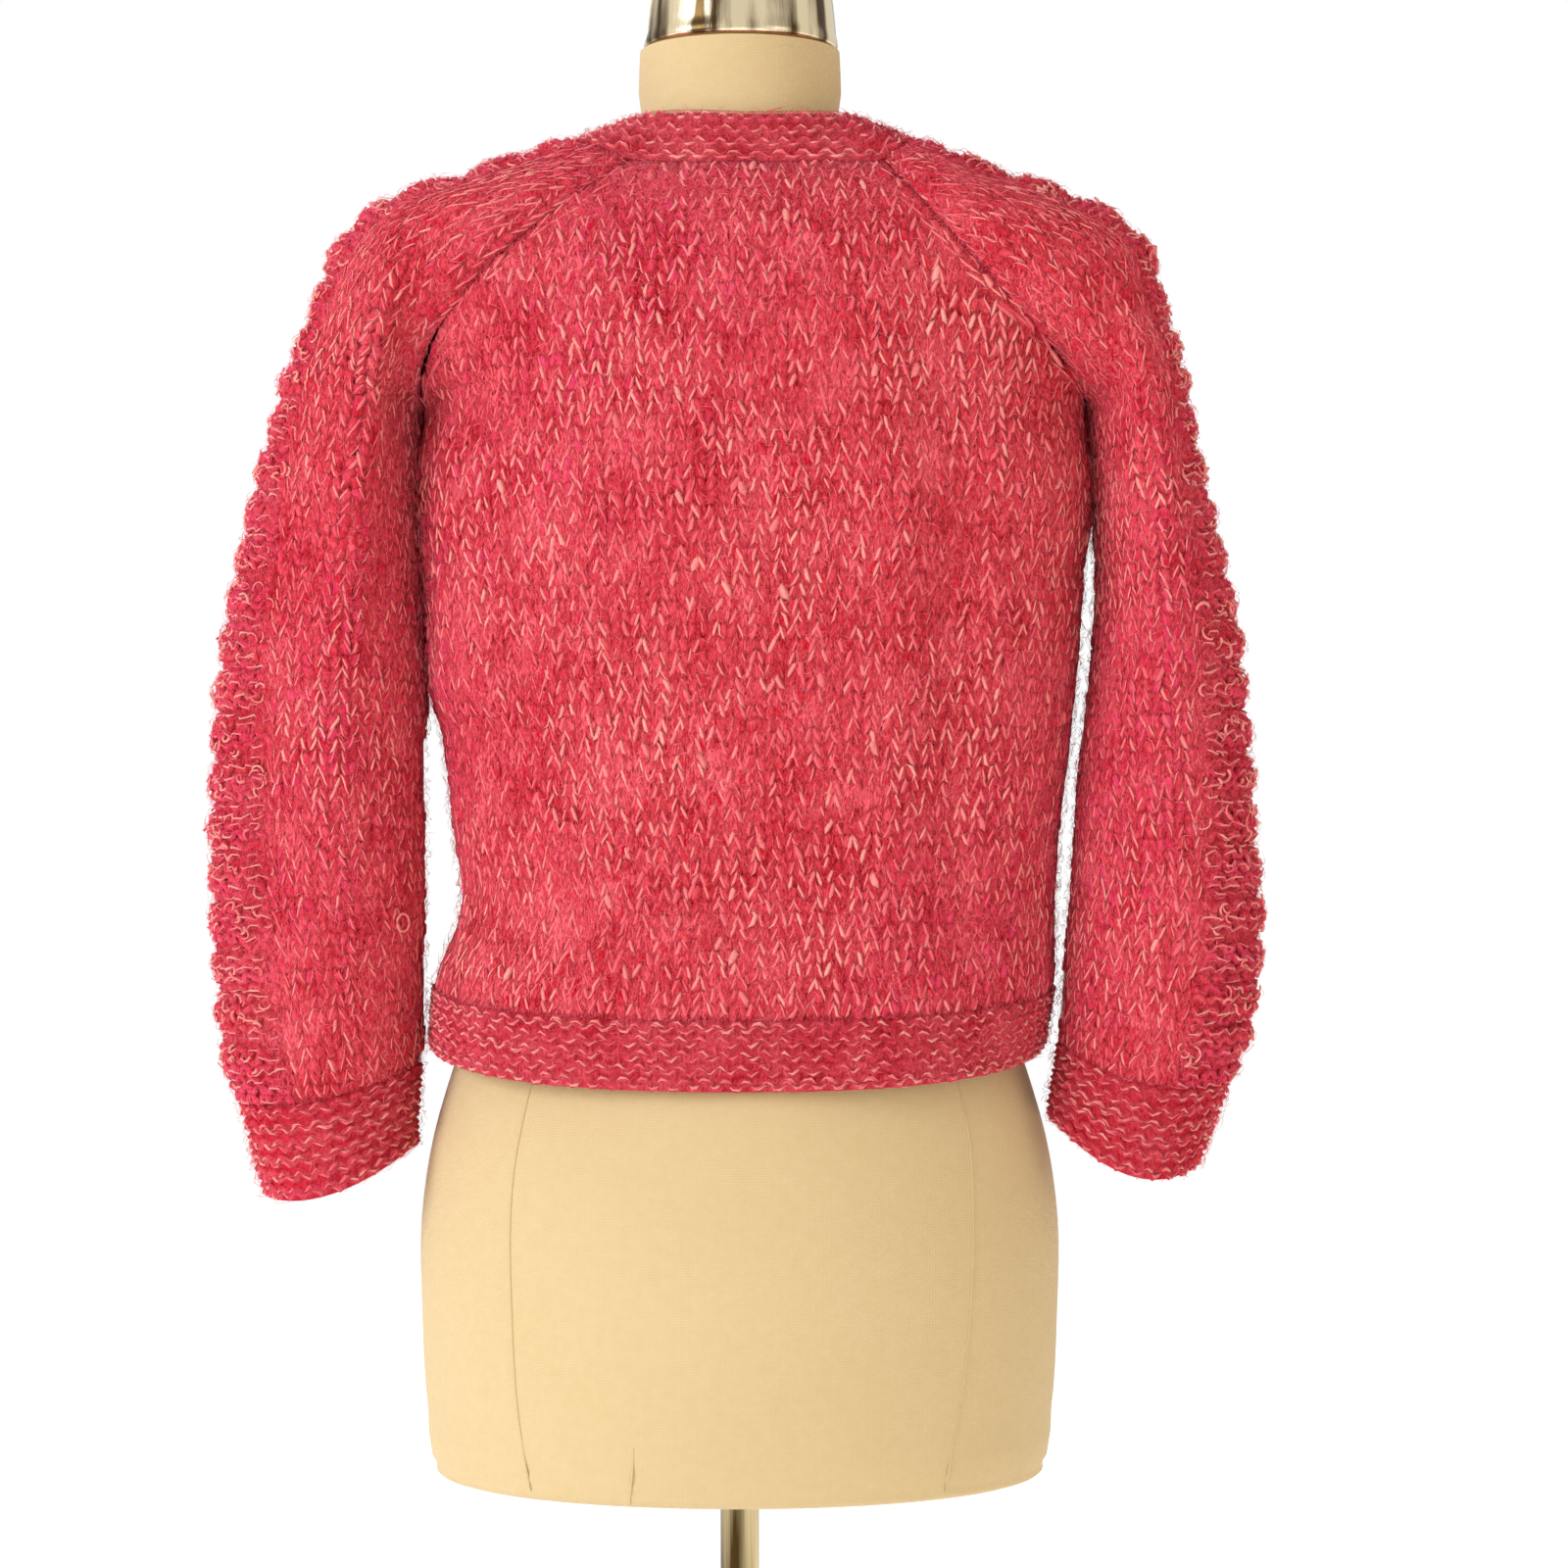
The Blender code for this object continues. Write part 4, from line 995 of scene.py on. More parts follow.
def spindles(paths, normals, radii, sides, flat=1.0):
    """Closed tubes along paths (n, keys, 3), pointed at both ends.

    A ring is its path's point, plus the radius times the cosine of an angle along the outward
    direction and the sine of the angle along the direction across the path. The first of the
    two is made smaller by a share, flat, for a yarn that is pressed on the cloth.
    """
    along = unit(np.gradient(paths, axis=1))
    out = unit(normals - along * np.sum(normals * along, axis=-1, keepdims=True))
    across = np.cross(along, out)
    angle = 2 * math.pi * np.arange(sides) / sides
    turn = flat * np.cos(angle)[:, None] * out[:, 1:-1, None] \
        + np.sin(angle)[:, None] * across[:, 1:-1, None]
    rings = paths[:, 1:-1, None] + radii[:, 1:-1, None, None] * turn
    return capped_rings(paths[:, 0], rings, paths[:, -1])


def add_piece(name, mesh, material, slot, *nodes):
    """A finished piece that rides on the root body, in place of the CAD nodes it is given."""
    mesh.materials.append(material)
    piece = bpy.data.objects.new(name, mesh)
    bpy.context.scene.collection.objects.link(piece)
    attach(piece, "root")
    if nodes:
        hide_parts(*nodes)
    return piece


def mark_points(mesh, name, values):
    """An attribute with one number for each point, which a material reads by its name."""
    layer = mesh.attributes.new(name, "FLOAT", "POINT")
    layer.data.foreach_set("value", np.asarray(values, dtype=np.float32))


# Triangles of each piece of yarn, by its name
triangles = {}


def add_yarn(name, paths, normals, radii, sides, material, flat=1.0, **marks):
    """One mesh of many spindles. Each mark is an attribute with one value for each spindle."""
    vertices, faces = spindles(paths, normals, radii, sides, flat)
    mesh = build_mesh(name, vertices.reshape(-1, 3), faces)
    for mark, values in marks.items():
        mark_points(mesh, mark, np.repeat(values, vertices.shape[1]))
    triangles[name] = len(faces)
    return add_piece(name, mesh, material, "knit")


print("helpers for meshes are ready")

# %% [markdown]
# ## The cloth under the stitches
# A loose knit lets some of its inside show between the loops. Here a thin, closed shell stands
# for it: the surface of each piece a little under its outer skin, with a wall grown inwards. Its
# deep crimson, darker than the yarn, is painted shade between the loops. Each shell is a sheet
# of cloth with a flat size, which is measured from the rows it is made of.

# %% Shells
SHELL_HEIGHT = -0.0005
SHELL_WALL = 0.0012
SHELL_CELL = 0.0085
HAZE_HEIGHT = 0.0019
HAZE_WALL = 0.0010
HAZE_CELL = 0.0110
HAZE_COVER = {"cuff_left": 0.3, "cuff_right": 0.3, "neckband": 0.55, "hem_band": 0.55}
PANEL_BARE = 0.7
TUBE = 1.0
OPEN = 9.0


def shell_mesh(name, cloth, closed_from, height=SHELL_HEIGHT, cell=SHELL_CELL):
    """Grid of a cloth's points. From the depth closed_from on, the last column is the first.

    Each point is marked with how much nap covers it, which is less on a sleeve's panel.
    """
    rows = max(4, round(cloth.length / cell))
    v = np.linspace(0, cloth.length, rows + 1)
    left, right = cloth.edges(v)
    columns = max(4, round(float((right - left).max()) / cell))
    u = left[:, None] + (right - left)[:, None] * np.linspace(0, 1, columns + 1)
    grid, _ = cloth.at(np.broadcast_to(v[:, None], u.shape), u, height)
    number = np.arange(grid.shape[0] * grid.shape[1]).reshape(grid.shape[:2])
    closed = cloth.depth_at(v) >= closed_from
    grid[closed, 0] = (grid[closed, 0] + grid[closed, -1]) / 2
    number[closed, -1] = number[closed, 0]
    faces = np.stack([number[:-1, :-1], number[1:, :-1], number[1:, 1:], number[:-1, 1:]],
                     axis=-1).reshape(-1, 4)
    outside = cloth.normals[len(cloth.v) // 2, len(cloth.u) // 2]
    i = len(grid) // 2
    j = min(int(np.argmin(np.abs(u[i] - cloth.u[len(cloth.u) // 2]))), columns - 1)
    facing = np.cross(grid[i + 1, j] - grid[i, j], grid[i, j + 1] - grid[i, j])
    if np.dot(facing, outside) < 0:
        faces = faces[:, ::-1]
    used, faces_used = np.unique(faces, return_inverse=True)
    mesh = build_mesh(name, grid.reshape(-1, 3)[used], faces_used.reshape(faces.shape))
    inside = np.clip((PANEL_HALF_WIDTH - np.abs(u)) / PANEL_FADE, 0, 1) * cloth.knobbly
    cover = HAZE_COVER.get(cloth.name, 1.0) * (1 - PANEL_BARE * inside)
    mark_points(mesh, "cover", cover.ravel()[used])
    return mesh


def grow_wall(piece, thickness):
    """A wall that grows inwards from a surface and closes it at its edges."""
    wall = piece.modifiers.new("wall", "SOLIDIFY")
    wall.thickness = thickness
    wall.offset = -1


def add_shell(name, cloth, node, closed_from):
    """Thin closed shell of cloth that stands for a node. Its flat size is kept for its sheet."""
    # The shell's deep crimson is partly painted shade: darker than the yarn, for the gaps between
    # the loops
    piece = add_piece(name, shell_mesh(name, cloth, closed_from), core_shade_material, "knit", node)
    grow_wall(piece, SHELL_WALL)
    wide = cloth.right - cloth.left
    flat = (float(wide.max()), cloth.length)
    area = float(np.sum((wide[1:] + wide[:-1]) / 2 * np.diff(cloth.v)))
    sheets[name] = (piece, flat, area)


def haze_piece(name, closed_from):
    """Closed shell of nap over a cloth: the crests of the stitches come through it."""
    mesh = shell_mesh(name + "_haze", cloths[name], closed_from, HAZE_HEIGHT, HAZE_CELL)
    piece = add_piece(mesh.name, mesh, haze_material, "knit")
    grow_wall(piece, HAZE_WALL)
    return piece


sheets = {}
SHELLS = (
    # name, node and cloth, how it is held, depth from which it is a tube
    ("back_cloth", "back", "draped", OPEN),
    ("front_left_cloth", "front_left", "draped", OPEN),
    ("front_right_cloth", "front_right", "draped", OPEN),
    ("sleeve_left_cloth", "sleeve_left", "hung", TUBE),
    ("sleeve_right_cloth", "sleeve_right", "hung", TUBE),
    ("neckband_cloth", "neckband", "draped", OPEN),
    ("hem_cloth", "hem_band", "hung", OPEN),
    ("cuff_left_cloth", "cuff_left", "hung", TUBE),
    ("cuff_right_cloth", "cuff_right", "hung", TUBE),
    ("band_left_cloth", "front_band_left", "hung", OPEN),
    ("band_right_cloth", "front_band_right", "hung", OPEN),
)
for name, node, held, closed_from in SHELLS:
    add_shell(name, cloths[node], node, closed_from)
for name, (piece, flat, area) in sheets.items():
    print(name, "flat", [round(x, 3) for x in flat], "area", round(area, 4))

# %% [markdown]
# ## Knit stitches
# Stocking stitch shows columns of V shapes. Each V has two legs of thick yarn that rise from one
# point and lean apart, then dive under the stitch above. A leg is one short spindle whose path
# follows the cloth, a little above it in the middle and under it at both ends. Columns keep one
# distance, are squeezed where the body narrows, and end at the raglan seams, along which one
# column runs. No two hand-knit stitches are alike, so each leg gets its own small changes.

# %% Places of the stitches
WALE = 0.0110
SLEEVE_WALE = 0.0102
ROW = 0.0070
EDGE_COLUMN = 0.0052
YOKE_MARGIN = 0.0115
SIDE_MARGIN = 0.0062
FIRST_ROW = 0.6
MOST_COLUMNS = 45
SEAM_COLUMN = 99.0
rng = np.random.default_rng(11)


class Wales:
    """Columns of stitches on a cloth: which stitches there are, and where a column runs.

    Squeezed ones keep their share of the width below the underarm. None lies closer than
    empty_half to the middle line of a sleeve, where its panel runs.
    """

    def __init__(self, cloth, squeezed, wale, empty_half=0.0):
        count = round(cloth.length / ROW)
        self.wale = wale
        v = (np.arange(count) + FIRST_ROW) * cloth.length / count
        self.cloth = cloth
        self.squeezed = squeezed
        self.under = float(np.interp(1.0, cloth.depth, cloth.v))
        one_way = cloth.begins_at_middle
        number = np.arange(-MOST_COLUMNS, MOST_COLUMNS) + (0.0 if one_way else 0.5)
        v, number = [x.ravel() for x in np.meshgrid(v, number, indexing="ij")]
        u = self.column(v, number)
        left, right = cloth.edges(v)
        yoke = cloth.depth_at(v) < 1
        margin = np.where(yoke, YOKE_MARGIN, SIDE_MARGIN)
        near_band = SIDE_MARGIN if one_way else margin
        keep = (u > left + near_band) & (u < right - margin) & (np.abs(u) > empty_half)
        self.v = v[keep]
        self.number = number[keep]
        self.edge = np.zeros(len(self.v))
        rows = np.unique(v[yoke])
        for side in (1,) if one_way else (-1, 1):
            self.v = np.concatenate([self.v, rows])
            self.number = np.concatenate([self.number, np.full(len(rows), SEAM_COLUMN * side)])
            self.edge = np.concatenate([self.edge, np.full(len(rows), float(side))])

    def column(self, v, number):
        """Distance across of a column at v: its number times the wale, squeezed on the body."""
        if not self.squeezed:
            return number * self.wale
        left, right = self.cloth.edges(v)
        left_under, right_under = self.cloth.edges(self.under)
        below = v > self.under
        wide = np.where(number > 0, right / right_under, left / min(left_under, -1e-6))
        if self.cloth.begins_at_middle:
            wide = right / right_under
        return number * self.wale * np.where(below, wide, 1.0)

    def across(self, v):
        """Distance across of each stitch's column at v, also for the columns along the seams."""
        shape = (len(self.v),) + (1,) * (v.ndim - 1)
        left, right = self.cloth.edges(v)
        edge = self.edge.reshape(shape)
        u = self.column(v, self.number.reshape(shape))
        return np.where(edge > 0, right - EDGE_COLUMN, np.where(edge < 0, left + EDGE_COLUMN, u))


def wander(v, u):
    """Slow drift of the columns of a hand-knit cloth: two sine waves, added together."""
    return 0.0011 * np.sin(31 * v + 19 * u + 0.7) + 0.0006 * np.sin(83 * v - 41 * u)


print("a stitch is", WALE * 1000, "mm wide and", ROW * 1000, "mm high")

# %% Legs and strands
LEG_DOWN = np.array((0.52, 0.05, -0.60, -1.10))
LEG_OUT = np.array((0.03, 0.165, 0.33, 0.40))
LEG_HEIGHT = np.array((-0.0008, 0.0003, 0.0004, -0.0008))
LEG_RADIUS = 0.0031
LEG_FLAT = 0.6
STRAND_KEYS = np.array((0.08, 0.38, 0.70, 0.96))
STRAND_LIFT = np.array((0.0003, 0.00005, 0.00005, 0.0003))
LEG_THICKNESS = (0.84, 1.14)
STRAND_RADIUS = 0.00112
STRAND_THICKNESS = (0.5, 1.3)
STRAND_FLAT = 0.42
SLUB_SHARE = 0.05
SLUB_SIZE = 1.7
LOOSE_RADIUS = 0.00075
STRAND_SHARE = 0.66
LADDERS = (-0.170, -0.120)
LADDER_SLIM = 0.84
SLEEVE_FINE = 0.72
SIDE_FELTED = 0.045
SIDE_SHARE = 0.08
ROW_WANDER = 0.0007
ROW_WAVE = 0.0012
COLUMN_WANDER = 0.0005
LIFT_WANDER = 0.0003
LEAN_WANDER = 0.15
END_ROOM = 0.0005
PANEL_START = PANEL_HALF_WIDTH - 0.004
STRAND_ASIDE = 0.7
STRAND_BEND = 0.00045
STRAND_WANDER = 0.00025


def leg_paths(wales, side, down, out, height):
    """Paths of the legs of one side: each key is so many rows down and so many wales out."""
    jitter_v = rng.normal(0, ROW_WANDER, (len(wales.v), 1)) \
        + ROW_WAVE * np.sin(5.1 * wales.number)[:, None]
    jitter_u = rng.normal(0, COLUMN_WANDER, (len(wales.v), 1))
    lift = rng.normal(0, LIFT_WANDER, (len(wales.v), 1))
    out = out * rng.normal(1, LEAN_WANDER, (len(wales.v), 1))
    v = np.clip(wales.v[:, None] + down * ROW + jitter_v, END_ROOM,
                wales.cloth.length - END_ROOM)
    u = wales.across(v)
    u = u + side * out * wales.wale + jitter_u + wander(v, u)
    return wales.cloth.at(v, u, height + lift)


def along_paths(values, share):
    """Values part of the way along paths (n, keys, 3): straight between neighbouring keys."""
    place = share * (values.shape[1] - 1)
    low = np.minimum(place.astype(int), values.shape[1] - 2)
    part = (place - low)[:, None]
    return values[:, low] * (1 - part) + values[:, low + 1] * part


def strands_beside(path, normal, thick, share):
    """Strands that lie on the legs: most legs have one, slightly to one side of its crest.

    Where many strands are pale or missing goes by patches, as the yarns drift past each other.
    """
    patch = 0.5 + 0.5 * np.sin(37 * path[:, 1, 0] + 9) * np.sin(29 * path[:, 1, 2] + 4)
    keep = rng.uniform(0, 1, len(path)) < (STRAND_SHARE + (1 - STRAND_SHARE) * patch) * share
    spine = along_paths(path, STRAND_KEYS)[keep]
    out = unit(along_paths(normal, STRAND_KEYS))[keep]
    thick = thick[keep, None, None]
    across = unit(np.cross(np.gradient(spine, axis=1), out))
    offset = rng.uniform(-STRAND_ASIDE, STRAND_ASIDE, (len(spine), 1, 1)) * thick
    bend = rng.normal(0, STRAND_BEND, (len(spine), 1, 1)) * np.array((-1, 1, 1, -1))[:, None]
    offset = offset + bend + rng.normal(0, STRAND_WANDER, (len(spine), 4, 1))
    lift = LEG_FLAT * np.sqrt(np.maximum(thick ** 2 - offset ** 2, 0)) + STRAND_LIFT[:, None]
    tone = np.clip(0.05 + 0.75 * rng.uniform(0, 1, len(spine)) ** 1.3
                   + 0.5 * (patch[keep] - 0.4), 0, 1)
    return spine + across * offset + out * lift, out, tone


def stitch_piece(name, wales):
    """Legs of all stitches of a cloth, and the thin strand that runs beside most of them.

    The back's stitches are slimmer in one ladder, and its sides are felted, so that fewer
    strands show there.
    """
    paths, normals, radii, tones = [], [], [], []
    strand_paths, strand_normals, strand_tones = [], [], []
    middle = wales.across(wales.v)
    slim = np.where(name.startswith("back") & (middle > LADDERS[0]) & (middle < LADDERS[1]),
                    LADDER_SLIM, 1.0)
    left, right = wales.cloth.edges(wales.v)
    from_side = np.minimum(middle - left, right - middle) / SIDE_FELTED
    felted = (wales.v > wales.under) & wales.squeezed
    share = np.where(felted, np.clip(from_side, SIDE_SHARE, 1), 1.0)
    fine = SLEEVE_FINE if name.startswith("sleeve") else 1.0
    for side in (-1, 1):
        path, normal = leg_paths(wales, side, LEG_DOWN, LEG_OUT, LEG_HEIGHT)
        thick = LEG_RADIUS * slim * rng.uniform(*LEG_THICKNESS, len(path))
        paths.append(path)
        normals.append(normal)
        radii.append(thick[:, None] * np.array((0, 1.0, 1.0, 0)))
        tones.append(rng.uniform(0, 1, len(path)) ** 1.3)
        strand, strand_normal, strand_tone = strands_beside(path, normal, thick, share)
        strand_paths.append(strand)
        strand_normals.append(strand_normal)
        strand_tones.append(strand_tone)
    paths, normals, radii = (np.concatenate(x) for x in (paths, normals, radii))
    tones = np.concatenate(tones)
    patch = 0.5 + 0.5 * np.sin(9 * paths[:, 1, 2] + 14 * paths[:, 1, 0] + 1.0)
    rosy = (patch * (0.3 + 0.7 * rng.uniform(0, 1, len(paths)))) ** 2
    legs = add_yarn(name + "_stitches", paths, normals, radii, 4, yarn_material, LEG_FLAT,
                    tone=tones, rosy=rosy)
    strand_paths = np.concatenate(strand_paths)
    strand_tones = np.concatenate(strand_tones)
    thin = STRAND_RADIUS * fine * rng.uniform(*STRAND_THICKNESS, (len(strand_paths), 1))
    thin = thin * np.where(rng.uniform(0, 1, thin.shape) < SLUB_SHARE, SLUB_SIZE, 1.0)
    thin = thin * rng.uniform(0.8, 1.2, (len(strand_paths), 4)) * np.array((0.6, 1, 1, 0.6))
    strands = add_yarn(name + "_strands", strand_paths, np.concatenate(strand_normals), thin, 3,
                       strand_material, STRAND_FLAT, tone=strand_tones)
    return [legs, strands]


# Pieces of yarn and fuzz that go with the sheet of each cloth
trims = {}
for name in STITCHED:
    sleeve = name.startswith("sleeve")
    wales = Wales(cloths[name], not sleeve, SLEEVE_WALE if sleeve else WALE,
                  PANEL_START if sleeve else 0.0)
    trims[name] = stitch_piece(name, wales)
    print(name, "stitches", len(wales.v))

# %% [markdown]
# ## Garter stitch
# The neckband, hem, cuffs and front bands are garter stitch: cross ridges of small bumps. Each
# ridge is made of two wavy yarns that interlock, one with its bumps up and one with them down,
# half a stitch apart. A yarn's path is a cosine wave along the ridge, which rises where it bulges
# and sinks where the other yarn passes over it.

# %% Garter ridges
GARTER_RADIUS = 0.0021
GARTER_THICKNESS = (0.85, 1.15)
GARTER_KEYS = 4
RIDGE_AWAY = 0.0010
RIDGE_SWING = 0.0015
RIDGE_RISE = 0.0008
# How much paler the neckband's yarn is made: painted light, for the band faces up to the light from
# above
NECKBAND_PAINTED_LIGHT = 0.45
RIDGE_SUNK = 0.0003
RIDGE_UNEVEN = 0.12
RIDGE_WANDER = 0.00012
ARC_PEAK = 0.6
ARC_SHARE = 0.9
ARC_ON_YARN = 0.97
ARC_SHIFT = 0.0008
ARC_THICKNESS = (0.6, 1.6)
RIDGES = {"neckband": 4, "hem_band": 5, "cuff_left": 6, "cuff_right": 6,
          "front_band_left": 5, "front_band_right": 5}


def ridge_places(cloth, ridge, ridges, share, lengthwise):
    """v and u along the middle of a ridge, which runs across the cloth or down it."""
    if lengthwise:
        v = share * cloth.length
        left, right = cloth.edges(v)
        return v, left + (right - left) * (ridge + 0.5) / ridges
    v = np.full_like(share, cloth.length * (ridge + 0.5) / ridges)
    left, right = cloth.edges(v)
    return v, left + (right - left) * (0.002 + 0.996 * share)


def garter_piece(name, ridges):
    """Two wavy yarns for each ridge, and short arcs of strand on their bumps."""
    cloth = cloths[name]
    lengthwise = name.startswith("front_band")
    width = float(np.mean(cloth.right - cloth.left))
    stitches = round((cloth.length if lengthwise else width) / WALE)
    share = np.linspace(0.001, 0.999, stitches * GARTER_KEYS + 1)
    paths, normals, arcs, arc_normals = [], [], [], []
    for ridge in range(ridges):
        start = rng.uniform(0, 2 * math.pi)
        wave = 2 * math.pi * stitches * share + start
        v, u = ridge_places(cloth, ridge, ridges, share, lengthwise)
        for flip in (-1, 1):
            swing = np.cos(wave) * (1 + rng.normal(0, RIDGE_UNEVEN, len(share)))
            away = flip * RIDGE_AWAY - RIDGE_SWING * swing
            away = away + rng.normal(0, RIDGE_WANDER, len(share))
            height = -flip * RIDGE_RISE * swing - RIDGE_SUNK
            place = (v, u + away) if lengthwise else (v + away, u)
            path, normal = cloth.at(*place, height)
            paths.append(path)
            normals.append(normal)
            peaks = np.where(-flip * np.cos(wave) > ARC_PEAK)[0]
            peaks = peaks[(peaks > 2) & (peaks < len(share) - 3)]
            peaks = peaks[rng.uniform(0, 1, len(peaks)) < ARC_SHARE]
            near = peaks[:, None] + np.array((-1, 0, 1, 2))
            arcs.append(path[near] + normal[near] * GARTER_RADIUS * ARC_ON_YARN)
            arc_normals.append(normal[near])
    paths, normals = np.stack(paths), np.stack(normals)
    radii = GARTER_RADIUS * rng.uniform(*GARTER_THICKNESS, paths.shape[:2])
    count = len(paths)
    # The neckband's tone is raised as painted light falling on it from above
    paler = NECKBAND_PAINTED_LIGHT if name == "neckband" else 0.0
    yarns = add_yarn(name + "_ridges", paths, normals, radii, 4, yarn_material, 1.0,
                     tone=rng.uniform(0.3, 0.8, count) + paler,
                     rosy=rng.uniform(0.0, 0.3, count))
    arcs, arc_normals = np.concatenate(arcs), np.concatenate(arc_normals)
    shift = unit(np.cross(np.gradient(arcs, axis=1), arc_normals))
    arcs = arcs + shift * rng.uniform(-ARC_SHIFT, ARC_SHIFT, (len(arcs), 1, 1))
    thin = LOOSE_RADIUS * rng.uniform(*ARC_THICKNESS, (len(arcs), 4))
    strands = add_yarn(name + "_strands", arcs, arc_normals, thin, 3, strand_material,
                       tone=rng.uniform(0, 1, len(arcs)))
    return [yarns, strands]


for name, ridges in RIDGES.items():
    trims[name] = garter_piece(name, ridges)
print("garter pieces", list(RIDGES))

# %% [markdown]
# ## Knobbly panels
# Down the outer side of each sleeve runs a panel of knobbly purl rows. A row is a wavy yarn
# across the panel, and neighbouring rows are out of step, so arcs up and arcs down fill it.
# The strand shows here as small curls that stand off the cloth.

# %% Purl rows and curls
PURL_PITCH = 0.0056
PURL_KEYS = 5
PURL_RADIUS = 0.0026
PURL_THICKNESS = (0.82, 1.18)
PURL_FLAT = 0.9
PURL_SWING = 0.0020
PURL_UNEVEN = 0.25
PURL_ARC_THICKNESS = (0.5, 1.3)
PURL_PEAK = 0.85
PURL_SHARE = 0.62
PURL_ON_YARN = 0.92
CURLS = 420
CURL_RADIUS = 0.0034
CURL_KEYS = 8
CURL_HEIGHT = 0.0030
CURL_TURNS = (1.6, 4.0)
CURL_SIZES = (0.7, 1.3)
CURL_TRIES = 6
CREST_PULL = 0.9
PANEL_EDGE_ROOM = 0.008


def purl_piece(name):
    """Wavy rows across a sleeve's panel: v swings with the sine of u, and so does the height."""
    cloth = cloths[name]
    rows = round(cloth.length / PURL_PITCH)
    v = (np.arange(rows)[:, None] + 0.5) * cloth.length / rows
    v = v + rng.normal(0, 0.0006, v.shape)
    left, right = cloth.edges(v)
    half = np.minimum(PANEL_HALF_WIDTH, np.minimum(-left, right) - PANEL_EDGE_ROOM)
    half = half + rng.normal(0, 0.0012, half.shape)
    keys = round(2 * PANEL_HALF_WIDTH / WALE) * PURL_KEYS + 1
    u = half * np.linspace(-1, 1, keys) + rng.normal(0, 0.0004, (rows, keys))
    wave = 2 * math.pi * u / WALE + rng.uniform(0, 2 * math.pi, (rows, 1))
    swing = PURL_SWING * (1 + PURL_UNEVEN * rng.normal(0, 1, (rows, keys)))
    height = 0.0003 + 0.0008 * np.cos(2 * wave + 0.8) * rng.uniform(0.6, 1.3, (rows, keys))
    paths, normals = cloth.at(np.clip(v + swing * np.sin(wave), 0.001, cloth.length - 0.001),
                              u, height)
    radii = PURL_RADIUS * rng.uniform(*PURL_THICKNESS, (rows, keys))
    yarns = add_yarn(name + "_purl_rows", paths, normals, radii, 4, yarn_material, PURL_FLAT,
                     tone=rng.uniform(0.2, 0.9, rows), rosy=rng.uniform(0.0, 0.5, rows))
    row, key = np.where(np.abs(np.sin(wave)) > PURL_PEAK)
    inside = (key > 2) & (key < keys - 3) & (rng.uniform(0, 1, len(key)) < PURL_SHARE)
    row, key = row[inside, None], key[inside, None] + np.array((-2, -1, 1, 2))
    out = normals[row, key]
    arcs = paths[row, key] + out * PURL_RADIUS * PURL_ON_YARN
    thin = LOOSE_RADIUS * rng.uniform(*PURL_ARC_THICKNESS, (len(arcs), 4))
    strands = add_yarn(name + "_purl_strands", arcs, out, thin, 3, strand_material,
                       tone=rng.uniform(0.1, 1, len(arcs)))
    return [yarns, strands]


def curl_piece(name):
    """Small open rings of strand, mostly on the crests of the welts.

    Each goes part of a turn in a plane that is tilted off the cloth.
    """
    cloth = cloths[name]
    v = rng.uniform(0.004, cloth.length - 0.004, CURL_TRIES * CURLS)
    crest = welts(cloth.depth_at(v))
    v = v[np.argsort(rng.uniform(0, 1, len(v)) - CREST_PULL * crest)][:CURLS]
    left, right = cloth.edges(v)
    half = np.minimum(PANEL_HALF_WIDTH, np.minimum(-left, right) - PANEL_EDGE_ROOM)
    u = rng.uniform(-1, 1, CURLS) * half
    centre, normal = cloth.at(v, u, CURL_HEIGHT)
    further, _ = cloth.at(v, u + 0.002, CURL_HEIGHT)
    first = unit(further - centre)
    second = unit(np.cross(normal, first) + normal * rng.uniform(-0.5, 0.6, (CURLS, 1)))
    begin = rng.uniform(0, 2 * math.pi, (CURLS, 1))
    turn = begin + np.linspace(0, 1, CURL_KEYS) * rng.uniform(*CURL_TURNS, (CURLS, 1))
    size = CURL_RADIUS * rng.uniform(*CURL_SIZES, (CURLS, 1, 1))
    paths = centre[:, None] + size * (np.cos(turn)[..., None] * first[:, None]
                                      + np.sin(turn)[..., None] * second[:, None])
    normals = np.broadcast_to(normal[:, None], paths.shape)
    radii = LOOSE_RADIUS * rng.uniform(0.6, 1.4, (CURLS, 1)) \
        * rng.uniform(0.8, 1.2, (CURLS, CURL_KEYS))
    return add_yarn(name + "_curls", paths, normals, radii, 3, strand_material,
                    tone=rng.uniform(0.3, 1, CURLS))


for name in ("sleeve_left", "sleeve_right"):
    trims[name] += [*purl_piece(name), curl_piece(name)]
print("knobbly panels done,", sum(triangles.values()), "triangles so far")

# %% [markdown]
# ## Fuzz
# Brushed mohair has a halo of loose fibres, which shows most at the outline, and a nap that
# hides the gaps between its stitches. Each fibre is a bent spindle of three sides that starts
# in the cloth and leans out. It is thicker than a real hair, and stands for many. The nap is
# one more thin shell among the stitches, whose material is open in streaks.

# %% Fibres and nap
FIBRE_RADIUS = 0.00016
FIBRE_THICKNESS = (0.6, 1.3)
FIBRE_BEND = 0.6
FIBRES_PER_AREA = 27000
FIBRE_LENGTHS = (0.007, 0.014)
FIBRE_SPREAD = 1.2
FIBRE_HEIGHTS = ((0.0020, 0.0024), (0.0030, 0.0058), (0.0022, 0.0066))


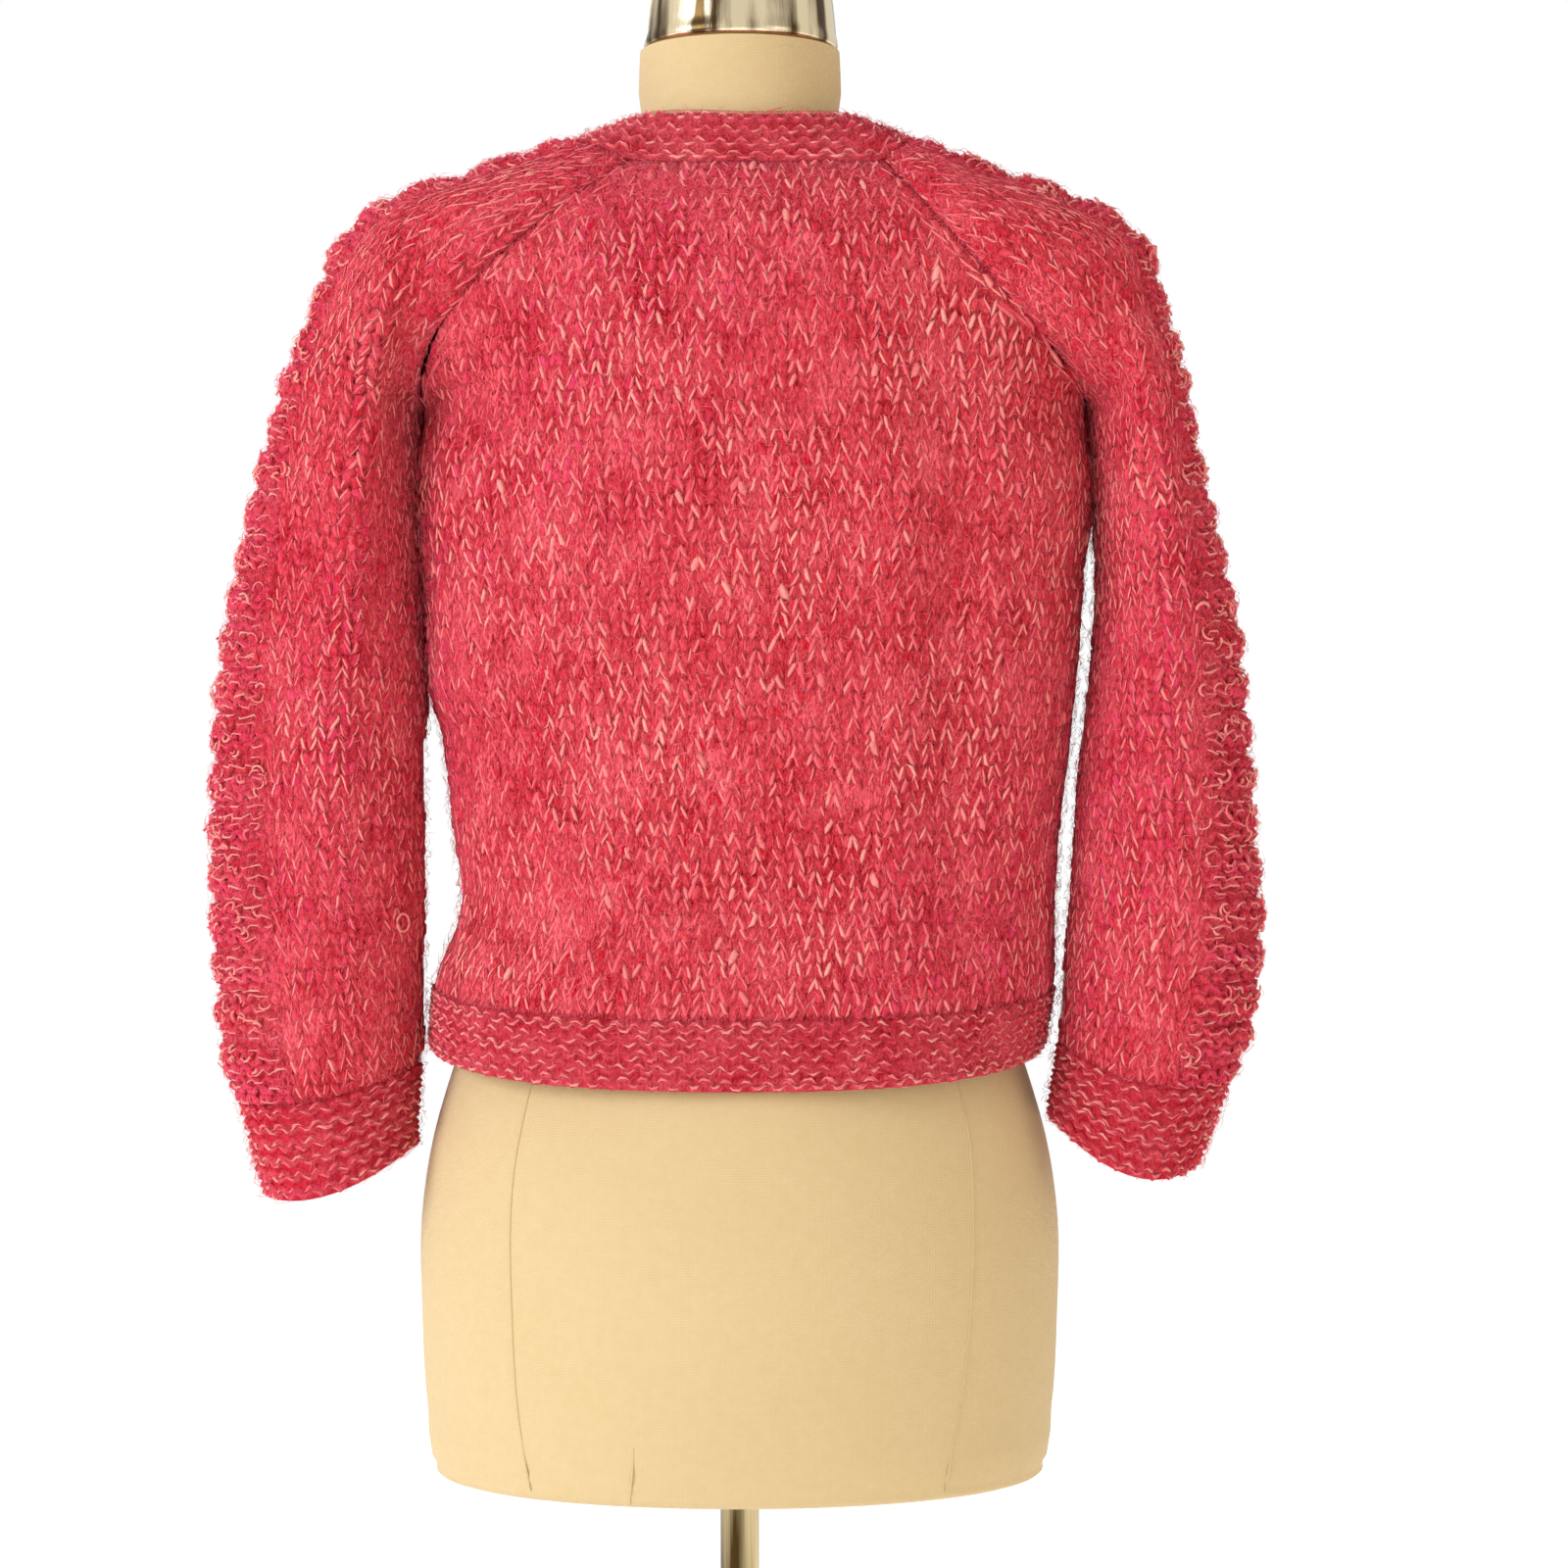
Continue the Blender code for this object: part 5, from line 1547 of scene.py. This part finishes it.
def strewn(cloth, density, lengths, spread, heights):
    """Three keys of many bent hairs: random places, and headings spread about the way down.

    Heights are the lowest and highest ones of each key over the cloth.
    """
    count = round(float((cloth.right - cloth.left).mean() * cloth.length) * density)
    v = rng.uniform(0, cloth.length, count)
    left, right = cloth.edges(v)
    u = left + (right - left) * rng.uniform(0, 1, count)
    length = rng.uniform(*lengths, count)
    heading = rng.normal(0, spread, count) + math.pi * rng.integers(0, 2, count)
    placed = []
    for low, high in heights:
        height = low + (high - low) * rng.uniform(0, 1, count) ** 1.6
        placed.append(cloth.at(np.clip(v, -0.002, cloth.length + 0.002), u, height))
        v = v + length / 2 * np.cos(heading)
        u = u + length / 2 * np.sin(heading)
        heading = heading + rng.normal(0, FIBRE_BEND, count)
    paths = np.stack([point for point, _ in placed], axis=1)
    normals = np.stack([normal for _, normal in placed], axis=1)
    return paths, normals


def fuzz_piece(name):
    """Single fibres, which lean out of the cloth in any heading."""
    paths, normals = strewn(cloths[name], FIBRES_PER_AREA, FIBRE_LENGTHS, FIBRE_SPREAD,
                            FIBRE_HEIGHTS)
    count = len(paths)
    radii = FIBRE_RADIUS * rng.uniform(*FIBRE_THICKNESS, (count, 1)) * np.array((0, 1, 0))
    return add_yarn(name + "_fuzz", paths, normals, radii, 3, fibre_material,
                    tone=rng.uniform(0, 1, count) ** 1.5)


tube_from = {node: depth for _, node, _, depth in SHELLS}
for name in cloths:
    trims[name] += [fuzz_piece(name), haze_piece(name, tube_from[name])]
print("fibres done,", sum(triangles.values()), "triangles so far")

# %% Stray loop
LOOP_AT = (0.190, 1.014)
LOOP_SIZE = 0.0042
LOOP_KEYS = 14
LOOP_RADIUS = 0.0006
LOOP_STANDS_OFF = 0.0034
LOOP_TILT = 0.0010


def stray_loop():
    """A loop of yarn pulled out of the left sleeve: a ring that stands off the cloth."""
    cloth = cloths["sleeve_left"]
    away = np.hypot(cloth.grid[..., 0] - LOOP_AT[0], cloth.grid[..., 2] - LOOP_AT[1])
    away = away + (cloth.grid[..., 1] < 0.02)
    row, column = np.unravel_index(np.argmin(away), away.shape)
    centre, normal = cloth.grid[row, column], cloth.normals[row, column]
    down = unit(np.cross(normal, np.array((1.0, 0.0, 0.0))))
    turn = np.linspace(-0.2, 2 * math.pi + 0.1, LOOP_KEYS)
    path = centre + normal * (LOOP_STANDS_OFF + LOOP_TILT * np.sin(turn / 2))[:, None] \
        + LOOP_SIZE * (np.cos(turn)[:, None] * unit(np.cross(down, normal))
                       + 1.2 * np.sin(turn)[:, None] * down)
    normals = np.broadcast_to(normal, path.shape)
    radii = np.full((1, LOOP_KEYS), LOOP_RADIUS)
    return add_yarn("stray_loop", path[None], normals[None], radii, 6, strand_material,
                    tone=np.array([0.8]))


trims["sleeve_left"].append(stray_loop())
print("stray loop at x and z", LOOP_AT)

# %% Sheets
for name, node, held, closed_from in SHELLS:
    piece, flat, area = sheets[name]
print("sheets", len(sheets), "triangles of yarn", sum(triangles.values()))

# %% [markdown]
# ## The form and its stand
# The form is a soft torso covered with cream linen. Its sections are ovals of a given fullness,
# from the hips to the neck. Its cover is sewn from panels, and each seam shows as a low welt.
# The cap, the pole and the foot are turned steel: an outline carried round the z axis.

# %% Form
FORM_SIDES = 112
FORM_STEP = 0.012
FORM_TOP = 1.504
EDGE_HEIGHT = 0.0105
EDGE_ROWS = 9
FORM_SHARP_ANGLE = 60


def form_point(turn, z):
    """Point of the form: an oval whose cosine and sine are raised to its row's fullness."""
    cosine, sine = np.cos(turn), np.sin(turn)
    full = FORM.at("fullness", z)
    radius = (np.abs(cosine) ** full + np.abs(sine) ** full) ** (-1 / full)
    deep = np.where(sine > 0, FORM.at("back", z), FORM.at("front", z))
    return points(FORM.at("half", z) * radius * cosine, deep * radius * sine, z)


def add_form():
    """The form as one closed surface, with flat ends and close rows at its lower edge."""
    low = FORM.keys[0]
    rows = np.concatenate([low + EDGE_HEIGHT * np.linspace(0, 1, EDGE_ROWS) ** 2,
                           np.arange(low + EDGE_HEIGHT + 0.004, FORM_TOP - 0.003, FORM_STEP),
                           [FORM_TOP]])
    turn = 2 * math.pi * np.arange(FORM_SIDES) / FORM_SIDES
    rings = form_point(turn[None, :], rows[:, None])[None]
    poles = [np.array([[0.0, 0.0, z]]) for z in (low, FORM_TOP)]
    vertices, faces = capped_rings(poles[0], rings, poles[1])
    mesh = build_mesh("linen_form", vertices.reshape(-1, 3), faces)
    mesh.set_sharp_from_angle(angle=math.radians(FORM_SHARP_ANGLE))
    return add_piece("linen_form", mesh, linen_material, "linen", "dress_form")


SEAMS = {
    "back_left": Table("z x", (0.706, 0.112), (0.745, 0.1185), (0.80, 0.1222), (0.885, 0.1208),
                       (0.93, 0.1115), (1.00, 0.090), (1.10, 0.080), (1.25, 0.090)),
    "back_right": Table("z x", (0.706, -0.112), (0.776, -0.1235), (0.862, -0.1275),
                        (0.895, -0.1260), (0.94, -0.1165), (1.00, -0.096), (1.10, -0.085),
                        (1.25, -0.095)),
    "short": Table("z x", (0.703, 0.058), (0.712, 0.0570), (0.722, 0.0560), (0.735, 0.0555)),
}
WELT_RADIUS = 0.0006
SEAM_KEYS = 90
SEAM_CORE = 0.35


def add_seams():
    """Welts of thread along the cover's seams, on the back and mirrored to the front."""
    made = []
    for name, seam in SEAMS.items():
        z = np.linspace(seam.keys[0], seam.keys[-1], SEAM_KEYS)
        x = seam.at("x", z)
        half, full = FORM.at("half", z), FORM.at("fullness", z)
        for side, deep in (("back", FORM.at("back", z)), ("front", -FORM.at("front", z))):
            if name == "short" and side == "front":
                continue
            y = deep * np.clip(1 - np.abs(x / half) ** full, 0, 1) ** (1 / full)
            path = points(x, y, z)
            normal = unit(path - points(SEAM_CORE * x, 0.0, z))
            radii = np.full((1, SEAM_KEYS), WELT_RADIUS)
            vertices, faces = spindles(path[None], normal[None], radii, 6)
            label = "seam_" + name + "_" + side
            mesh = build_mesh(label, vertices.reshape(-1, 3), faces)
            made.append(add_piece(label, mesh, thread_material, "linen"))
    return made


form = add_form()
seams = add_seams()
print("form", len(form.data.polygons), "faces,", len(seams), "seams")

# %% Cap, pole and foot
CAP = Table(
    "way   radius  z",
    (0.00, 0.0000, 1.50430),
    (0.30, 0.0530, 1.50430),
    (0.33, 0.0547, 1.50560),
    (0.45, 0.0545, 1.51500),
    (0.60, 0.0525, 1.53400),
    (0.70, 0.0505, 1.54400),
    (0.80, 0.0440, 1.55050),
    (0.90, 0.0320, 1.55300),
    (1.00, 0.0000, 1.55330),
)
POLE_RADIUS = 0.011
FOOT_RADIUS = 0.190
FOOT_HEIGHT = 0.009
FOOT_EDGE = 0.003
STAND_GAP = 0.0003
CAP_ROWS = 61
CAP_SIDES = 96
POLE_SIDES = 48
FOOT_SIDES = 144
EDGE_POINTS = 9
STEEP = 0.7
STEEL_SHARP_ANGLE = 35


def add_turned(name, radius, z, sides, material, node):
    """A round piece: each height's radius carried round the z axis, from the bottom up.

    Its points are marked as wall where the outline is steep, for the bump of the brushed streaks
    and for the painted reflection bands.
    """
    turn = 2 * math.pi * np.arange(sides) / sides
    ring_r, ring_z = radius[1:-1, None], z[1:-1, None]
    rings = points(ring_r * np.cos(turn), ring_r * np.sin(turn), ring_z)[None]
    vertices, faces = capped_rings(np.array([[0.0, 0.0, z[0]]]), rings,
                                   np.array([[0.0, 0.0, z[-1]]]))
    mesh = build_mesh(name, vertices.reshape(-1, 3), faces)
    mesh.set_sharp_from_angle(angle=math.radians(STEEL_SHARP_ANGLE))
    steep = np.abs(np.gradient(z)) / np.hypot(np.gradient(radius), np.gradient(z))
    steep = np.concatenate([steep[:1], np.repeat(steep[1:-1], sides), steep[-1:]])
    mark_points(mesh, "wall", steep > STEEP)
    return add_piece(name, mesh, material, "steel", node)


way = np.linspace(0, 1, CAP_ROWS)
cap = add_turned("steel_cap", CAP.at("radius", way), CAP.at("z", way), CAP_SIDES, cap_material,
                 "neck_cap")
pole_ends = np.array((FOOT_HEIGHT + STAND_GAP, FORM.keys[0] - STAND_GAP))
pole = add_turned("steel_pole", np.array((0, POLE_RADIUS, POLE_RADIUS, 0)),
                  np.repeat(pole_ends, 2), POLE_SIDES, stand_material, "pole")
edge = np.linspace(0, math.pi / 2, EDGE_POINTS)
foot = add_turned(
    "steel_foot",
    np.concatenate([[0, FOOT_RADIUS], FOOT_RADIUS - FOOT_EDGE + FOOT_EDGE * np.cos(edge), [0]]),
    np.concatenate([[0, 0], FOOT_HEIGHT - FOOT_EDGE + FOOT_EDGE * np.sin(edge), [FOOT_HEIGHT]]),
    FOOT_SIDES, stand_material, "base")
print("cap, pole and foot:", [len(x.data.polygons) for x in (cap, pole, foot)], "faces")
